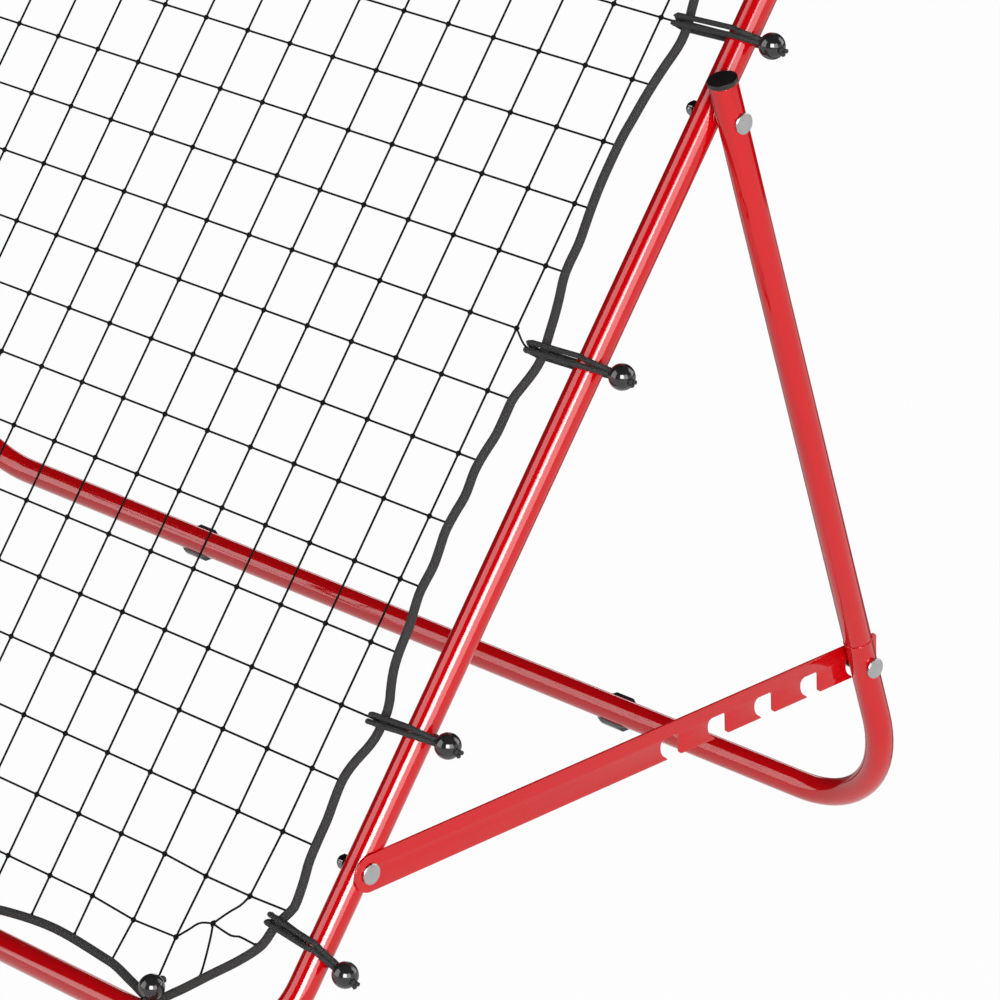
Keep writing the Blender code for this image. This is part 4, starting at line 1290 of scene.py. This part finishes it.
# %% Make and fit every tie
places = tie_places()
for number, (spot, inward, depth, low) in enumerate(places, 1):
    facing = -1 if spot.x < 0 else 1
    if low:
        shift = LOW_BALL_SHIFT * abs(round(spot.x / CROSS_TIES[-1]))
        flat_ball = LOW_BALL
        heading, reach, lift = LOW_HEADING, 1.0, 0.0
        circles = [(flat_ball, 0.0), ((-depth, 0.0), ROPE_WRAP), ROUND_TUBE]
        stations = [(0, shift, LOW_AT_BALL, 0), (TUBE_WRAP - flat_ball[0], 0, LOW_ON_TUBE, 0)]
    else:
        mirror_number = number if facing > 0 else len(places) - len(CROSS_TIES) + 1 - number
        bends = TIE_BENDS.get(mirror_number, PLAIN_TIE)
        out, shift, on_tube, halfway, bow, end_shift, past, lift, droop, reach = bends
        flat_ball = (out, 0.0)
        heading = (1, 0, -facing * droop)
        circles = [(flat_ball, 0.0), ROUND_TUBE, ((-depth - past, 0.0), ROPE_WRAP), ROUND_TUBE]
        far = out + depth + past + ROPE_WRAP
        stations = [(0, shift, AT_BALL, 0), (out, 0, on_tube, 0), (out + depth / 2, 0, halfway, bow),
                    (far, end_shift, AT_END, 0)]
    ball = Vector((*flat_ball, facing * shift))
    turn = Matrix.Rotation(atan2(inward.y, -inward.x), 4, "Y")
    place = in_frame @ Matrix.Translation((spot.x, 0, spot.y)) @ turn
    strands = loop_lines(circles, flat_ball, stations, lift, facing)
    loop = round_cord(strands, STRAND_RADIUS, bevel=4, closed=True)
    tail = round_cord(tail_lines(ball, heading, reach), TAIL_RADIUS, bevel=3, closed=False)
    fit(join([loop, tail]), f"elastic_loop_{number:02d}", "front_frame", "elastic", elastic_finish,
        f"ball_tie_{number:02d}", place=place)
    made = ball_shape(ball, heading)
    fit(made, f"tie_ball_{number:02d}", "front_frame", "elastic", ball_gloss, place=place)
print("ties:", number)

# %% [markdown]
# ## Floor, light and background
#
# The photograph has a white sweep under a dark studio with a few long bright panels, and these
# draw the stripes along the tubes. The camera sees plain white. Glossy paint sees the panels on a
# dark dome, and a floor that turns dark behind the stand. A large soft lamp, a weaker one behind
# and an even dome give the light itself.

# %% A pale floor
FLOOR_SIDE = 12
FLOOR_GLOW = 0.97
FLOOR_LOOK = {"Base Color": (0.9, 0.9, 0.9, 1), "Roughness": 0.9, "Specular IOR Level": 0.0}
# Behind the crossbar and inwards from the right leg, glossy paint sees the floor fall off into the
# dark of the studio. Along each axis: where it is still white, and where it is dark
FALL_OFF = {"X": (0.75, 0.60), "Y": (0.36, 0.50)}
FAR_GLOW = 0.12

bpy.ops.object.select_all(action="DESELECT")
bpy.ops.mesh.primitive_plane_add(size=FLOOR_SIDE, location=ORIGIN)
floor = bpy.context.object
floor.name = "studio_floor"
floor_finish, tree, floor_shader = start_finish("studio_floor", FLOOR_LOOK)
seen = add_node(tree, "ShaderNodeLightPath", "ray", (-300, 300)).outputs
to_eye = math_node(tree, "MULTIPLY", (-150, 300), seen["Is Camera Ray"], FLOOR_GLOW)
share = math_node(tree, "MAXIMUM", (0, 300), to_eye, seen["Is Glossy Ray"])
place = add_node(tree, "ShaderNodeTexCoord", "place on the floor", (-900, -400))
parts = add_node(tree, "ShaderNodeSeparateXYZ", "x, y, z", (-700, -400), {0: place.outputs["Object"]})
loss = math_node(tree, "MULTIPLY", (-300, -400), seen["Is Glossy Ray"], 1 - FAR_GLOW)
for axis, (still_white, dark) in FALL_OFF.items():
    fall = soft_step(tree, parts.outputs[axis], still_white, dark, (-500, -400))
    loss = math_node(tree, "MULTIPLY", (-300, -600), loss, fall)
kept = math_node(tree, "SUBTRACT", (-150, -400), 1.0, loss)
glow = add_node(tree, "ShaderNodeEmission", "white", (0, -300), {"Strength": kept})
blend = add_node(tree, "ShaderNodeMixShader", "white to the eye", (300, 0),
                 {0: share, 1: floor_shader.outputs[0], 2: glow.outputs[0]})
tree.links.new(blend.outputs[0], tree.nodes["Material Output"].inputs["Surface"])
floor.data.materials.append(floor_finish)
print("floor laid")

# %% One large soft lamp, and a weaker one behind
LAMP_AIM = Vector((0, 0, 0.5))
# Each lamp: its place, its side in metres and its power in watts
LAMPS = {
    "key_lamp": (Vector((6.8, -3.9, 2.1)), 3.0, 430),
    "back_lamp": (Vector((-2.4, 8.0, 1.3)), 2.4, 240),
}
for name, (lamp_place, side, power) in LAMPS.items():
    bpy.ops.object.light_add(type="AREA", location=lamp_place)
    lamp = bpy.context.object
    lamp.name = name
    lamp.data.size = side
    lamp.data.energy = power
    lamp.rotation_euler = (LAMP_AIM - lamp_place).to_track_quat("-Z", "Y").to_euler()
    lamp.visible_glossy = False
    print(name, power, "W")

# %% The panels that glossy paint reflects
DOME_LIGHT = 0.34
DARK = 0.02
WHITE = (1, 1, 1, 1)
# Each panel: its turn from the front, from and to, its height, from and to, its soft edge, all in
# degrees, and its strength
PANELS = {
    "left panel": (-58, -10, -2, 44, 2.5, 3.3),
    "key panel": (31, 59, 6, 34, 4.5, 26.0),
    "right panel": (57, 96, 0, 33, 2.0, 4.8),
    "right wall": (96, 150, -90, 18, 3.0, 0.9),
    "back panel": (140, 176, 4, 44, 3.0, 3.3),
    "far lamp": (-143, -132, 3, 12, 2.5, 2.5),
}

world = bpy.data.worlds.new("studio")
bpy.context.scene.world = world
world.use_nodes = True
tree = world.node_tree
heading = add_node(tree, "ShaderNodeTexCoord", "where a ray goes", (-1600, 0))
parts = add_node(tree, "ShaderNodeSeparateXYZ", "x, y, z", (-1400, 0), {0: heading.outputs["Generated"]})
forward = math_node(tree, "MULTIPLY", (-1200, 100), parts.outputs["Y"], -1)
turned = math_node(tree, "ARCTAN2", (-1050, 100), parts.outputs["X"], forward)
raised = math_node(tree, "ARCSINE", (-1050, -100), parts.outputs["Z"])
turn = math_node(tree, "DEGREES", (-900, 100), turned)
height = math_node(tree, "DEGREES", (-900, -100), raised)

brightness = DARK
for row, (turn_from, turn_to, height_from, height_to, edge, strength) in enumerate(PANELS.values()):
    y = 800 - 300 * row
    mask = strength
    for source, low, high in ((turn, turn_from, turn_to), (height, height_from, height_to)):
        for start, end in ((low - edge, low + edge), (high + edge, high - edge)):
            inside = soft_step(tree, source, start, end, (-650, y))
            mask = math_node(tree, "MULTIPLY", (-400, y), mask, inside)
    brightness = math_node(tree, "ADD", (-200, y), brightness, mask)
print("panels:", list(PANELS))

# %% What each kind of ray sees of the world
dome = tree.nodes["Background"]
dome.inputs["Strength"].default_value = DOME_LIGHT
dome.inputs["Color"].default_value = WHITE
panels = add_node(tree, "ShaderNodeBackground", "panels", (0, -150), {"Strength": brightness, "Color": WHITE})
white = add_node(tree, "ShaderNodeBackground", "white", (0, -300), {"Color": WHITE})
seen = add_node(tree, "ShaderNodeLightPath", "ray", (0, 300)).outputs
for_gloss = add_node(tree, "ShaderNodeMixShader", "gloss", (250, 0),
                     {0: seen["Is Glossy Ray"], 1: dome.outputs[0], 2: panels.outputs[0]})
for_eye = add_node(tree, "ShaderNodeMixShader", "eye", (450, 0),
                   {0: seen["Is Camera Ray"], 1: for_gloss.outputs[0], 2: white.outputs[0]})
tree.links.new(for_eye.outputs[0], tree.nodes["World Output"].inputs["Surface"])
bpy.context.scene.view_settings.view_transform = "Standard"
print("world set")
